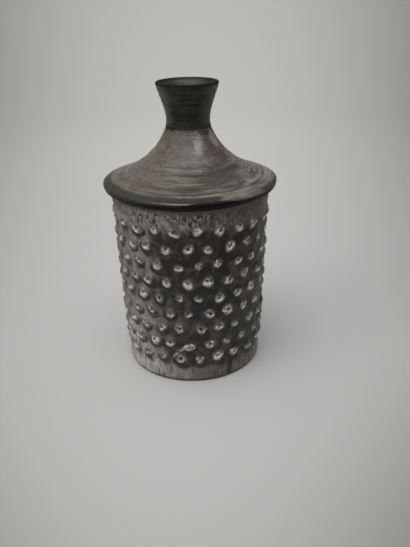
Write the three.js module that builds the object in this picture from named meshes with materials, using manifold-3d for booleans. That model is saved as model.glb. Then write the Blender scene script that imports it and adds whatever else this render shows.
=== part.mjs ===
// Lidded ceramic pot: a slab-built, tapering pot studded all round with burst clay bosses, and a
// wheel-thrown lid with a flared, hollow knob. The lid drops into the mouth on a locating ring.
// Millimetres, +Z up. The origin is the centre of the foot, on the surface that the pot stands on.
import * as THREE from 'three';
import { mergeVertices, toCreasedNormals } from 'three/addons/utils/BufferGeometryUtils.js';
import Module from 'manifold-3d';

const wasm = await Module();
wasm.setup();

// Clearances
const SEAT_GAP = 0.3; // under the lid, where it rests on the mouth
const LUTE_GAP = 0.3; // the slip joint between two clay pieces that are fired together
const RING_CLEARANCE = 1.2; // between the locating ring and the inside of the mouth

// Pot wall and floor
const POT_HEIGHT = 132; // foot to mouth
const FOOT_RADIUS = 49.9; // outside of the wall, just above its rounded foot
const FOOT_ROUNDING = 2;
const MOUTH_RADIUS = 55.6; // outside of the mouth
const MOUTH_FLARE = 1.6; // how far the mouth spreads beyond the wall under it
const MOUTH_FLARE_HEIGHT = 13;
const MOUTH_ROUNDING = 1.2;
const WALL_THICKNESS = 6;
const FLOOR_THICKNESS = 7;

// Bosses on the wall, in staggered rows
const BOSS_ROWS = 9;
const BOSSES_PER_ROW = 24;
const FIRST_ROW_HEIGHT = 20.5; // above the foot
const LAST_ROW_DEPTH = 15.4; // below the mouth
const FRONT_BOSS_ANGLE = 5.7; // degrees to the right of the front, in the first row
const BOSS_RADIUS = 4.2; // at the wall's surface
const BOSS_HEIGHT = 1.4;
const BOSS_LIP_RADIUS = 2.1; // the torn lip round the crater
const CRATER_DEPTH = 0.9;
const BOSS_ROOT = 1; // how far a boss reaches into the wall
const BOSS_SIDES = 6;
const BOSS_DRIFT = 1.1; // hand-made unevenness of place, sideways and up
const BOSS_SIZE_SPREAD = 0.14; // hand-made unevenness of size, as a share

// Lid
const LID_OVERHANG = 4.9; // the rim beyond the outside of the mouth
const RIM_HEIGHT = 6.7; // underside to where the dome starts
const RIM_EQUATOR_HEIGHT = 3.9; // underside to the rim's widest line
const RIM_UNDERCUT = 3.2; // the rounded underside of the rim, measured inwards
const RIM_ROLL = 3; // the rounded top of the rim, measured inwards
const DOME_HEIGHT = 40.7; // underside to the knob's foot
const DOME_THICKNESS = 6;
const DOME_CROWN = 8; // clay left between the hollow underside and the knob's foot
const DOME_RIM_SLOPE = 15.5; // degrees above level where the dome leaves the rim
const DOME_RIM_PULL = 18.9;
const DOME_NECK_SLOPE = 69; // degrees above level where it meets the knob
const DOME_NECK_PULL = 20.2;
const RING_DEPTH = 9; // locating ring, below the lid's underside
const RING_THICKNESS = 4.5;

// Knob
const KNOB_HEIGHT = 28.7;
const KNOB_FOOT_RADIUS = 15.3;
const KNOB_LIP_RADIUS = 21;
const KNOB_FOOT_SLOPE = 72; // degrees above level where the outline runs inwards from the foot
const KNOB_FOOT_PULL = 7.6;
const KNOB_LIP_SLOPE = 74; // degrees above level where it flares to the lip
const KNOB_LIP_PULL = 10.7;
const KNOB_LIP_THICKNESS = 2.4;
const CUP_DEPTH = 17; // the hollow in the top of the knob
const CUP_FLOOR_RADIUS = 6;
const CUP_LIP_SLOPE = 62; // degrees above level where the cup falls away from the lip
const CUP_LIP_PULL = 8;
const CUP_FLOOR_SLOPE = 12; // degrees above level where it reaches its floor
const CUP_FLOOR_PULL = 5;

// How finely round forms are divided
const TURNS = 48;
const KNOB_TURNS = 40;
const CURVE_STEPS = 9;
const ARC_STEPS = 3;
const LEAST_STEP = 1; // between the points of a curve and the point where it is cut short
const WELD = 1e-4; // points closer than this are one
const CREASE_ANGLE = THREE.MathUtils.degToRad(40);

// Heights and radii that follow from the sizes above
const LID_BASE = POT_HEIGHT + SEAT_GAP;
const KNOB_BASE = LID_BASE + DOME_HEIGHT + LUTE_GAP;
const LID_RADIUS = MOUTH_RADIUS + LID_OVERHANG;
const NECK_RADIUS = MOUTH_RADIUS - MOUTH_FLARE; // of the wall, where the mouth's flare begins
const FLARE_START = POT_HEIGHT - MOUTH_FLARE_HEIGHT;

const point = (x, y) => new THREE.Vector2(x, y);

// Outside radius of the bare wall at a height: a straight taper, then a flare that eases in.
function wallRadius(z) {
  const taper = (z - FOOT_ROUNDING) / (FLARE_START - FOOT_ROUNDING);
  const flare = Math.max(0, (z - FLARE_START) / MOUTH_FLARE_HEIGHT);
  return THREE.MathUtils.lerp(FOOT_RADIUS, NECK_RADIUS, Math.min(1, taper)) + MOUTH_FLARE * flare ** 2;
}

const innerRadius = (z) => wallRadius(z) - WALL_THICKNESS;

// Points of a quarter round from one point to another, bulging towards a corner.
function quarterRound(from, corner, to) {
  const centre = from.clone().add(to).sub(corner);
  const points = [];
  for (let i = 0; i <= ARC_STEPS; i++) {
    const angle = (i / ARC_STEPS) * (Math.PI / 2);
    points.push(centre.clone()
      .addScaledVector(corner.clone().sub(to), Math.cos(angle))
      .addScaledVector(corner.clone().sub(from), Math.sin(angle)));
  }
  return points;
}

// An outline of radii and heights, turned about +Z.
function turned(outline, turns = TURNS) {
  return new THREE.LatheGeometry(outline, turns).rotateX(Math.PI / 2);
}

// A curve of an outline that leaves one point and arrives at another in given directions, in
// degrees from straight outwards, and the more it is pulled there the longer it keeps to them.
function sweep(start, startDirection, startPull, end, endDirection, endPull) {
  const towards = (degrees, length) => point(length, 0)
    .rotateAround(point(0, 0), THREE.MathUtils.degToRad(degrees));
  return new THREE.CubicBezierCurve(
    start,
    start.clone().add(towards(startDirection, startPull)),
    end.clone().sub(towards(endDirection, endPull)),
    end,
  );
}

// The same curve moved by a distance to its left, as seen along the curve.
function offsetPoints(curve, distance) {
  const points = [];
  for (let i = 0; i <= CURVE_STEPS; i++) {
    const tangent = curve.getTangent(i / CURVE_STEPS);
    points.push(curve.getPoint(i / CURVE_STEPS).add(point(-tangent.y, tangent.x).multiplyScalar(distance)));
  }
  return points;
}

// Where a run of points crosses a radius or a height.
function crossing(points, axis, value) {
  const after = points.findIndex((p, i) => i > 0 && (p[axis] - value) * (points[i - 1][axis] - value) <= 0);
  const [a, b] = [points[after - 1], points[after]];
  return a.clone().lerp(b, (value - a[axis]) / (b[axis] - a[axis]));
}

// three.js geometry to a solid that can be joined, and back.
function toSolid(geometry) {
  const bare = new THREE.BufferGeometry().setAttribute('position', geometry.getAttribute('position'));
  const merged = mergeVertices(bare.setIndex(geometry.getIndex()), WELD);
  return new wasm.Manifold(new wasm.Mesh({
    numProp: 3,
    vertProperties: merged.getAttribute('position').array,
    triVerts: new Uint32Array(merged.getIndex().array),
  }));
}

function fromSolid(solid) {
  const mesh = solid.getMesh();
  return new THREE.BufferGeometry()
    .setAttribute('position', new THREE.BufferAttribute(mesh.vertProperties, 3))
    .setIndex(new THREE.BufferAttribute(mesh.triVerts, 1));
}

// A repeatable stand-in for the unevenness of handwork, from -1 to 1.
function uneven(row, column, kind) {
  const wave = Math.sin(row * 12.9898 + column * 78.233 + kind * 37.719) * 43758.5453;
  return 2 * (wave - Math.floor(wave)) - 1;
}

// One boss: clay burst outwards round a crater, with its axis pointing out of the wall.
function boss(row, column) {
  const size = 1 + BOSS_SIZE_SPREAD * uneven(row, column, 1);
  const flare = (BOSS_RADIUS - BOSS_LIP_RADIUS) / BOSS_HEIGHT; // the side's lean
  const outline = [
    point(0, -BOSS_ROOT),
    point(BOSS_RADIUS + flare * BOSS_ROOT, -BOSS_ROOT),
    point(BOSS_LIP_RADIUS, BOSS_HEIGHT),
    point(0, BOSS_HEIGHT - CRATER_DEPTH),
  ];
  const rowStep = (POT_HEIGHT - LAST_ROW_DEPTH - FIRST_ROW_HEIGHT) / (BOSS_ROWS - 1);
  const height = FIRST_ROW_HEIGHT + row * rowStep + BOSS_DRIFT * uneven(row, column, 2);
  const radius = wallRadius(height);
  const stagger = (row % 2) / 2;
  const angle = THREE.MathUtils.degToRad(FRONT_BOSS_ANGLE)
    + ((column + stagger) / BOSSES_PER_ROW) * 2 * Math.PI
    + (BOSS_DRIFT * uneven(row, column, 3)) / radius;
  return new THREE.LatheGeometry(outline, BOSS_SIDES)
    .scale(size, size, size)
    .rotateX(Math.PI)
    .translate(0, -radius, height)
    .rotateZ(angle);
}

// The wall: a tapering tube with a rounded foot, a flared mouth and all the bosses.
function wallGeometry() {
  const footEdge = point(wallRadius(0), 0);
  const mouthOuter = point(MOUTH_RADIUS, POT_HEIGHT);
  const mouthInner = point(innerRadius(POT_HEIGHT), POT_HEIGHT);
  const flareMiddle = POT_HEIGHT - MOUTH_FLARE_HEIGHT / 2;
  const outline = [
    ...quarterRound(
      point(footEdge.x - FOOT_ROUNDING, 0),
      footEdge,
      point(FOOT_RADIUS, FOOT_ROUNDING),
    ),
    point(NECK_RADIUS, FLARE_START),
    point(wallRadius(flareMiddle), flareMiddle),
    ...quarterRound(
      point(mouthOuter.x, mouthOuter.y - MOUTH_ROUNDING),
      mouthOuter,
      point(mouthOuter.x - MOUTH_ROUNDING, mouthOuter.y),
    ),
    ...quarterRound(
      point(mouthInner.x + MOUTH_ROUNDING, mouthInner.y),
      mouthInner,
      point(mouthInner.x, mouthInner.y - MOUTH_ROUNDING),
    ),
    point(innerRadius(flareMiddle), flareMiddle),
    point(innerRadius(FLARE_START), FLARE_START),
    point(innerRadius(0), 0),
  ];
  outline.push(outline[0].clone());
  const bosses = [];
  for (let row = 0; row < BOSS_ROWS; row++)
    for (let column = 0; column < BOSSES_PER_ROW; column++) bosses.push(toSolid(boss(row, column)));
  return fromSolid(wasm.Manifold.union([toSolid(turned(outline)), ...bosses]));
}

// The floor: a disc that fills the wall's foot.
function floorGeometry() {
  return turned([
    point(0, 0),
    point(innerRadius(0) - LUTE_GAP, 0),
    point(innerRadius(FLOOR_THICKNESS) - LUTE_GAP, FLOOR_THICKNESS),
    point(0, FLOOR_THICKNESS),
  ]);
}

// The locating ring's radii follow the inside of the mouth.
const ringOuter = (depth) => innerRadius(POT_HEIGHT - depth) - RING_CLEARANCE;
const RING_INNER = ringOuter(RING_DEPTH) - RING_THICKNESS;

// The locating ring, from its top under the lid.
function ringGeometry() {
  const outline = [
    point(RING_INNER, -RING_DEPTH),
    point(ringOuter(RING_DEPTH), -RING_DEPTH),
    point(ringOuter(RING_DEPTH), -LUTE_GAP),
    point(RING_INNER, -LUTE_GAP),
  ];
  outline.push(outline[0].clone());
  return turned(outline);
}

// The dome: a rolled rim, a trumpet-shaped top and a hollow underside.
function domeGeometry() {
  const equator = point(LID_RADIUS, RIM_EQUATOR_HEIGHT);
  const rimTop = point(LID_RADIUS - RIM_ROLL, RIM_HEIGHT);
  const neck = point(KNOB_FOOT_RADIUS, DOME_HEIGHT);
  const top = sweep(
    rimTop, 180 - DOME_RIM_SLOPE, DOME_RIM_PULL,
    neck, 180 - DOME_NECK_SLOPE, DOME_NECK_PULL,
  );
  const hollow = offsetPoints(top, DOME_THICKNESS).reverse();
  const crown = crossing(hollow, 'y', DOME_HEIGHT - DOME_CROWN);
  const edge = crossing(hollow, 'x', RING_INNER);
  return turned([
    point(RING_INNER, 0),
    ...quarterRound(point(LID_RADIUS - RIM_UNDERCUT, 0), point(LID_RADIUS, 0), equator),
    ...quarterRound(equator, point(LID_RADIUS, RIM_HEIGHT), rimTop).slice(1),
    ...top.getPoints(CURVE_STEPS).slice(1),
    point(0, DOME_HEIGHT),
    point(0, crown.y),
    crown,
    ...hollow.filter((p) => p.y < crown.y - LEAST_STEP && p.x < edge.x - LEAST_STEP),
    edge,
    point(RING_INNER, 0),
  ]);
}

// The knob: a waist that flares to a rounded lip, with a cup in its top.
function knobGeometry() {
  const lipRadius = KNOB_LIP_THICKNESS / 2;
  const lipOuter = point(KNOB_LIP_RADIUS, KNOB_HEIGHT - lipRadius);
  const lipInner = point(lipOuter.x - KNOB_LIP_THICKNESS, lipOuter.y);
  const lipTop = point(lipOuter.x - lipRadius, KNOB_HEIGHT);
  const side = sweep(
    point(KNOB_FOOT_RADIUS, 0), 180 - KNOB_FOOT_SLOPE, KNOB_FOOT_PULL,
    lipOuter, KNOB_LIP_SLOPE, KNOB_LIP_PULL,
  );
  const cup = sweep(
    lipInner, 180 + CUP_LIP_SLOPE, CUP_LIP_PULL,
    point(CUP_FLOOR_RADIUS, KNOB_HEIGHT - CUP_DEPTH), 180 + CUP_FLOOR_SLOPE, CUP_FLOOR_PULL,
  );
  return turned([
    point(0, 0),
    ...side.getPoints(CURVE_STEPS),
    ...quarterRound(lipOuter, point(lipOuter.x, KNOB_HEIGHT), lipTop).slice(1),
    ...quarterRound(lipInner, point(lipInner.x, KNOB_HEIGHT), lipTop).reverse().slice(1),
    ...cup.getPoints(CURVE_STEPS).slice(1),
    point(0, KNOB_HEIGHT - CUP_DEPTH),
  ], KNOB_TURNS);
}

// Glazes and clay
const rubbedGlaze = new THREE.MeshStandardMaterial({ color: 0x5b534c, roughness: 0.62, metalness: 0 });
const streakedGlaze = new THREE.MeshStandardMaterial({ color: 0x655e54, roughness: 0.45, metalness: 0 });
const darkGlaze = new THREE.MeshStandardMaterial({ color: 0x2b2925, roughness: 0.42, metalness: 0 });
const innerGlaze = new THREE.MeshStandardMaterial({ color: 0x3c3732, roughness: 0.6, metalness: 0 });
const bareClay = new THREE.MeshStandardMaterial({ color: 0x735e4f, roughness: 0.85, metalness: 0 });

function piece(name, geometry, material, height = 0) {
  const mesh = new THREE.Mesh(toCreasedNormals(geometry, CREASE_ANGLE), material);
  mesh.name = name;
  mesh.position.z = height;
  return mesh;
}

const pot = new THREE.Group();
pot.add(
  piece('pot_wall', wallGeometry(), rubbedGlaze),
  piece('pot_floor', floorGeometry(), innerGlaze),
);

const lid = new THREE.Group();
lid.add(
  piece('lid_dome', domeGeometry(), streakedGlaze, LID_BASE),
  piece('lid_locating_ring', ringGeometry(), bareClay, LID_BASE),
  piece('lid_knob', knobGeometry(), darkGlaze, KNOB_BASE),
);

const liddedPot = new THREE.Group();
liddedPot.add(pot, lid);

export default liddedPot;
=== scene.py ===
"""A lidded stoneware pot: a wall of burst clay bosses, and a thrown lid with a flared, hollow knob.

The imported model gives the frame. Every piece here stands for one of its solids, in the same place
and at the same size, with the fine surface that fired and glazed clay has. Lengths are in metres.
"""

import logging
import math
from dataclasses import dataclass, field
from enum import Enum

import bpy
import numpy as np
from mathutils import Matrix, Vector


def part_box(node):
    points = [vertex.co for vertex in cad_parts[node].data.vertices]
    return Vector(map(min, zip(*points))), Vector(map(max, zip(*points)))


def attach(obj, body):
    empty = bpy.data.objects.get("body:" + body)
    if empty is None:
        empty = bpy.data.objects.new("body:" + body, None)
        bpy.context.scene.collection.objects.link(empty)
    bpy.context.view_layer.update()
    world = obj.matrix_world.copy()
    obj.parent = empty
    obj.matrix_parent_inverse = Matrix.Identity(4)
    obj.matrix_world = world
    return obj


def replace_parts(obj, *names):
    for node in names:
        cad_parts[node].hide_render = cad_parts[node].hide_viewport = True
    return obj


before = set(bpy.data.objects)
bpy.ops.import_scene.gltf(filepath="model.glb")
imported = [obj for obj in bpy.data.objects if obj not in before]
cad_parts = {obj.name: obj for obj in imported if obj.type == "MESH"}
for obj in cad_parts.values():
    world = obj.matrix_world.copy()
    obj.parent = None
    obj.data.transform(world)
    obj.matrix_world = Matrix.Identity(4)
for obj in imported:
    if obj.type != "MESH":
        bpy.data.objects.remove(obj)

Array = np.ndarray
Socket = bpy.types.NodeSocket
Colour = tuple[float, float, float]
Point = tuple[float, float]

MM = 0.001
AXIS_GAP = 1 * MM  # how near the axis a piece's rows end, before they close on it
TINY = 1e-12  # the least length that a direction is divided by
REPEAT = 1e-7  # points nearer than this are the same
UNEVEN_RATES = (12.9898, 78.233, 37.719)  # of the sine that stands in for chance, by row, column and kind
UNEVEN_HEIGHT = 43758.5453  # of that sine, of which only the fraction is kept
LATTICE_LAYERS = 97  # rows of the lattice of smooth noise, before they repeat
log = logging.getLogger("lidded_pot")


class Ends(Enum):
    """How the rows of a turned surface end."""

    LOOP = "the last row joins the first, as on a ring"
    POLES = "both ends close on the axis, as on a knob"
    BOWL = "the first row stays open and the last closes on the axis, as on a backdrop"


# Numbers over whole arrays


def ease(low: float | Array, high: float | Array, value: float | Array) -> Array:
    """Goes from 0 at low to 1 at high, level at both ends: 3t² - 2t³.

    Args:
        low: where the step starts.
        high: where it ends, above or below low.
        value: the place, or places, to work it out at.

    Returns:
        The eased share at each place.
    """
    t = np.clip((value - low) / (high - low), 0, 1)
    return t * t * (3 - 2 * t)


def bell(value: Array, width: float | Array) -> Array:
    """Goes from 1 where a value is 0 down to 0 on both sides of it: exp(-(value / width)²)."""
    return np.exp(-((value / width) ** 2))


def uneven(row: Array, column: Array, kind: int) -> Array:
    """A repeatable stand-in for the unevenness of handwork: the fraction of a fast sine, from -1 to 1.

    Args:
        row: row of the boss.
        column: column of the boss.
        kind: which of the boss's traits it is for.

    Returns:
        One number for each boss given.
    """
    by_row, by_column, by_kind = UNEVEN_RATES
    wave = np.sin(row * by_row + column * by_column + kind * by_kind) * UNEVEN_HEIGHT
    return 2 * (wave - np.floor(wave)) - 1


def ripple(turn: Array, along: Array, cells: int, seed: int) -> Array:
    """Smooth noise that closes on itself round an axis: lattice values, eased between neighbours.

    Args:
        turn: place round the axis, in turns.
        along: place along the other direction, in lattice steps.
        cells: lattice cells in one turn.
        seed: seed of the lattice's values.

    Returns:
        Noise from -1 to 1, of the shape that turn and along have together.
    """
    table = np.random.default_rng(seed).uniform(-1, 1, (LATTICE_LAYERS, cells))
    x, y = np.broadcast_arrays((turn % 1) * cells, along)
    x0, y0 = np.floor(x).astype(int), np.floor(y).astype(int)
    fx, fy = ease(0, 1, x - x0), ease(0, 1, y - y0)
    left, right = x0 % cells, (x0 + 1) % cells
    near, far = y0 % LATTICE_LAYERS, (y0 + 1) % LATTICE_LAYERS
    before = table[near, left] * (1 - fx) + table[near, right] * fx
    behind = table[far, left] * (1 - fx) + table[far, right] * fx
    return before * (1 - fy) + behind * fy


def bezier(corners: list[Point], count: int) -> Array:
    """Points of a cubic Bezier curve: its four corners weighted by (1-t)³, 3(1-t)²t, 3(1-t)t² and t³.

    Args:
        corners: the two ends and the two handles between them, as radius and height.
        count: how many points.

    Returns:
        The points, one row each.
    """
    t = np.linspace(0, 1, count)[:, None]
    a, b, c, d = (np.array(corner) for corner in corners)
    return a * (1 - t) ** 3 + 3 * b * (1 - t) ** 2 * t + 3 * c * (1 - t) * t**2 + d * t**3


def pulled(start: Point, start_way: float, start_pull: float,
           end: Point, end_way: float, end_pull: float, count: int = 200) -> Array:
    """A Bezier curve given by the directions in which it leaves one point and arrives at another.

    Args:
        start: first point, as radius and height.
        start_way: direction in which it leaves, in degrees from straight outwards.
        start_pull: how far its handle reaches.
        end: last point.
        end_way: direction in which it arrives, in the same degrees.
        end_pull: how far its handle reaches back.
        count: how many points.

    Returns:
        The points, one row each.
    """
    leave, arrive = math.radians(start_way), math.radians(end_way)
    return bezier([
        start,
        (start[0] + start_pull * math.cos(leave), start[1] + start_pull * math.sin(leave)),
        (end[0] - end_pull * math.cos(arrive), end[1] - end_pull * math.sin(arrive)),
        end,
    ], count)


def quarter(start: Point, corner: Point, end: Point, count: int = 16) -> Array:
    """A quarter of an ellipse from start to end that bulges towards a corner.

    Args:
        start: first point, as radius and height.
        corner: the corner that it rounds off.
        end: last point.
        count: how many points.

    Returns:
        The points: the centre, plus cosine and sine shares of its two half axes.
    """
    a = np.linspace(0, math.pi / 2, count)[:, None]
    s, c, e = (np.array(point) for point in (start, corner, end))
    return (s + e - c) + (c - e) * np.cos(a) + (c - s) * np.sin(a)


def lengths(outline: Array) -> Array:
    """The length that an outline has run up to each of its points."""
    return np.concatenate([[0], np.cumsum(np.hypot(*np.diff(outline, axis=0).T))])


def tangents(outline: Array) -> Array:
    """The direction in which an outline runs at each of its points, with length 1."""
    along = np.gradient(outline, axis=0)
    return along / np.maximum(np.hypot(*along.T), TINY)[:, None]


def evenly(outline: Array, spacing: float) -> Array:
    """Lays an outline's points again at equal steps along its length.

    Args:
        outline: radius and height of each point.
        spacing: the step, which is shortened until a whole number fits.

    Returns:
        The new points, with both ends kept.
    """
    length = lengths(outline)
    count = max(2, int(math.ceil(length[-1] / spacing)) + 1)
    at = np.linspace(0, length[-1], count)
    return np.stack([np.interp(at, length, outline[:, k]) for k in (0, 1)], axis=1)


def chain(*runs: Array) -> Array:
    """Joins runs of points into one outline, leaving out each run's first point where it repeats.

    Args:
        runs: the runs in their order, with a point in each row.

    Returns:
        All their points, one row each.
    """
    joined = [runs[0]]
    for run in runs[1:]:
        same = np.allclose(joined[-1][-1], run[0], atol=REPEAT)
        joined.append(run[1:] if same else run)
    return np.concatenate(joined)


def turns(columns: int) -> Array:
    """Places round the axis for that many columns, in turns, as one row."""
    return np.arange(columns)[None, :] / columns


def apart(angle: Array, degrees: float) -> Array:
    """How far each angle lies from another, given in degrees, to the right or, below 0, to the left."""
    return (angle - math.radians(degrees) + math.pi) % (2 * math.pi) - math.pi


def facing(angle: Array, degrees: float, low: float) -> Array:
    """Goes up to 1 where an angle is the one given in degrees, from 0 where their cosine is low."""
    return ease(low, 1.0, np.cos(apart(angle, degrees)))


def swept(angle: Array, length: Array, reach: float) -> dict[str, Array]:
    """A place for noise that streaks round the axis: (reach sin a, reach cos a, length).

    Args:
        angle: angle round the axis.
        length: length along the outline of each row.
        reach: radius of the narrow cylinder that stands for the turned surface, whatever its own radius.

    Returns:
        The three numbers to paint, by name.
    """
    return {"swept_x": reach * np.sin(angle), "swept_y": reach * np.cos(angle),
            "swept_z": length + 0 * angle}


def revolve(outline: Array, columns: int, raised: Array | float = 0.0,
            lifted: Array | float = 0.0) -> Array:
    """Turns an outline about +Z: (r sin a, -r cos a, z), so that column 0 faces the photograph.

    Args:
        outline: radius and height of each row, going up the outside, so that its right is outwards.
        columns: how many columns.
        raised: how far each point stands out along the outline's normal, by row and column.
        lifted: how far each point stands up, by row and column.

    Returns:
        The grid of points, rows by columns by 3.
    """
    tangent = tangents(outline)
    angle = 2 * math.pi * turns(columns)
    radius = outline[:, :1] + tangent[:, 1:] * raised
    height = outline[:, 1:] - tangent[:, :1] * raised + lifted
    radius, height = np.broadcast_arrays(radius + 0 * angle, height + 0 * angle)
    return np.stack([radius * np.sin(angle), -radius * np.cos(angle), height], axis=-1)


def skin(name: str, grid: Array, ends: Ends, paint: dict[str, Array] | None = None) -> bpy.types.Object:
    """Makes a closed mesh object of a turned grid: a quad between each four neighbours.

    Args:
        name: name of the piece.
        grid: rows by columns by 3, as revolve gives it.
        ends: how the first and last row close.
        paint: extra numbers for each point, by name, which the material reads.

    Returns:
        The new object, linked to the scene, with smooth faces that point outwards.
    """
    rows, columns = grid.shape[:2]
    index = np.arange(rows * columns).reshape(rows, columns)
    above = np.roll(index, -1, axis=0) if ends is Ends.LOOP else index[1:]
    below = index if ends is Ends.LOOP else index[:-1]
    quads = np.stack([below, np.roll(below, -1, 1), np.roll(above, -1, 1), above], -1).reshape(-1, 4)
    points = grid.reshape(-1, 3)
    corners, sizes = quads.ravel(), np.full(len(quads), 4)
    closed = {Ends.LOOP: (), Ends.POLES: (0, -1), Ends.BOWL: (-1,)}[ends]
    for row in closed:
        edge = index[row] if row else index[row, ::-1]
        fan = np.stack([np.full(columns, len(points)), edge, np.roll(edge, -1)], -1)
        points = np.concatenate([points, [[0, 0, grid[row, :, 2].mean()]]])
        corners = np.concatenate([corners, fan.ravel()])
        sizes = np.concatenate([sizes, np.full(columns, 3)])
    mesh = bpy.data.meshes.new(name)
    mesh.vertices.add(len(points))
    mesh.vertices.foreach_set("co", points.astype(np.float32).ravel())
    mesh.loops.add(len(corners))
    mesh.loops.foreach_set("vertex_index", corners.astype(np.int32))
    mesh.polygons.add(len(sizes))
    mesh.polygons.foreach_set("loop_start", (np.cumsum(sizes) - sizes).astype(np.int32))
    mesh.update(calc_edges=True)
    mesh.shade_smooth()
    for key, values in (paint or {}).items():
        values = np.broadcast_to(values, (rows, columns))
        values = np.concatenate([values.ravel(), [values[row].mean() for row in closed]])
        layer = mesh.attributes.new(key, "FLOAT", "POINT")
        layer.data.foreach_set("value", values.astype(np.float32).ravel())
    made = bpy.data.objects.new(name, mesh)
    bpy.context.scene.collection.objects.link(made)
    return made


# Finishes


class Recipe:
    """A small builder over one material's nodes. Places are Object coordinates, in metres."""

    coat_roughness = 0.16

    def __init__(self, name: str, roughness: float, specular: float, coat: float = 0.0) -> None:
        """Starts a material from the plain values of its shader.

        Args:
            name: name of the material.
            roughness: roughness, where done links nothing to it.
            specular: specular level, where done links nothing to it.
            coat: weight of the clear coat.
        """
        self.material = bpy.data.materials.new(name)
        self.material.use_nodes = True
        self.tree = self.material.node_tree
        self.shader = self.tree.nodes["Principled BSDF"]
        self.shader.inputs["Roughness"].default_value = roughness
        self.shader.inputs["Specular IOR Level"].default_value = specular
        self.shader.inputs["Coat Weight"].default_value = coat
        self.shader.inputs["Coat Roughness"].default_value = self.coat_roughness
        self.place = self.tree.nodes.new("ShaderNodeTexCoord").outputs["Object"]

    def feed(self, socket: Socket, value: Socket | float | tuple) -> None:
        """Links a value to an input, or sets it there.

        Args:
            socket: the input.
            value: another node's output, or a plain value.
        """
        if isinstance(value, bpy.types.NodeSocket):
            self.tree.links.new(value, socket)
        else:
            socket.default_value = value

    def painted(self, key: str) -> Socket:
        """The number that skin painted on the mesh.

        Args:
            key: the name that it was painted under.

        Returns:
            The number at each place.
        """
        node = self.tree.nodes.new("ShaderNodeAttribute")
        node.attribute_name = key
        return node.outputs["Fac"]

    def scaled(self, by: tuple[float, float, float]) -> Socket:
        """The place, scaled along each axis, to squash or draw out the noise that is read there.

        Args:
            by: the scales along X, Y and Z. Above 1 the noise is squashed, below 1 drawn out.

        Returns:
            The scaled place.
        """
        node = self.tree.nodes.new("ShaderNodeMapping")
        node.inputs["Scale"].default_value = by
        self.feed(node.inputs["Vector"], self.place)
        return node.outputs["Vector"]

    def swept(self) -> Socket:
        """The place that swept painted on the mesh, for streaks that run round the axis.

        Returns:
            The place.
        """
        node = self.tree.nodes.new("ShaderNodeCombineXYZ")
        for slot, key in (("X", "swept_x"), ("Y", "swept_y"), ("Z", "swept_z")):
            self.feed(node.inputs[slot], self.painted(key))
        return node.outputs["Vector"]

    def noise(self, size: float, detail: float = 3.0, rough: float = 0.55, warp: float = 0.0,
              place: Socket | None = None) -> Socket:
        """Noise round 0.5, mostly from 0.3 to 0.7.

        Args:
            size: size of its blots, in metres.
            detail: octaves.
            rough: weight of the finer ones.
            warp: how far it is stirred.
            place: where it is read, if not the plain place.

        Returns:
            The noise.
        """
        node = self.tree.nodes.new("ShaderNodeTexNoise")
        node.inputs["Scale"].default_value = 1 / size
        node.inputs["Detail"].default_value = detail
        node.inputs["Roughness"].default_value = rough
        node.inputs["Distortion"].default_value = warp
        self.feed(node.inputs["Vector"], place or self.place)
        return node.outputs["Fac"]

    def step(self, value: Socket, low: float, high: float,
             to_low: float = 0.0, to_high: float = 1.0) -> Socket:
        """Goes from one number to another while a value goes from low to high, eased and held beyond.

        Args:
            value: the value.
            low: where the step starts.
            high: where it ends, above or below low.
            to_low: the number before it.
            to_high: the number after it.

        Returns:
            The stepped number.
        """
        node = self.tree.nodes.new("ShaderNodeMapRange")
        node.interpolation_type = "SMOOTHSTEP"
        given = {"From Min": low, "From Max": high, "To Min": to_low, "To Max": to_high}
        for key, number in given.items():
            node.inputs[key].default_value = number
        self.feed(node.inputs["Value"], value)
        return node.outputs["Result"]

    def sum(self, a: Socket, b: Socket | float) -> Socket:
        """a + b."""
        return self._math("ADD", a, b)

    def times(self, a: Socket, b: Socket | float) -> Socket:
        """a · b."""
        return self._math("MULTIPLY", a, b)

    def swing(self, noise: Socket, by: float) -> Socket:
        """Noise that swings round 0: (noise - 0.5) · by."""
        return self.times(self.sum(noise, -0.5), by)

    def ragged(self, key: str, noise: Socket, by: float) -> Socket:
        """What is painted under a name, with noise on it that makes its edges ragged."""
        return self.sum(self.painted(key), self.swing(noise, by))

    def _math(self, operation: str, a: Socket, b: Socket | float) -> Socket:
        """A sum or product of two values.

        Args:
            operation: the node's name for it.
            a: the first value.
            b: the second value.

        Returns:
            The result.
        """
        node = self.tree.nodes.new("ShaderNodeMath")
        node.operation = operation
        self.feed(node.inputs[0], a)
        self.feed(node.inputs[1], b)
        return node.outputs[0]

    def blend(self, share: Socket | float, a: Socket | Colour, b: Socket | Colour) -> Socket:
        """Colour a, going over to colour b by a share.

        Args:
            share: share of b, from 0 to 1.
            a: the colour below.
            b: the colour laid over it.

        Returns:
            The blended colour.
        """
        node = self.tree.nodes.new("ShaderNodeMix")
        node.data_type = "RGBA"
        self.feed(node.inputs["Factor"], share)
        for slot, colour in (("A", a), ("B", b)):
            socket = next(s for s in node.inputs if s.name == slot and s.type == "RGBA")
            self.feed(socket, colour if isinstance(colour, bpy.types.NodeSocket) else (*colour, 1.0))
        return next(s for s in node.outputs if s.type == "RGBA")

    def bump(self, height: Socket, depth: float, strength: float, under: Socket | None = None) -> Socket:
        """A normal bent by a height.

        Args:
            height: the height, in shares of the depth.
            depth: its depth, in metres.
            strength: how far the normal follows it.
            under: a normal that was bent before, to bend on.

        Returns:
            The bent normal.
        """
        node = self.tree.nodes.new("ShaderNodeBump")
        node.inputs["Distance"].default_value = depth
        node.inputs["Strength"].default_value = strength
        self.feed(node.inputs["Height"], height)
        if under is not None:
            self.feed(node.inputs["Normal"], under)
        return node.outputs["Normal"]

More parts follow.
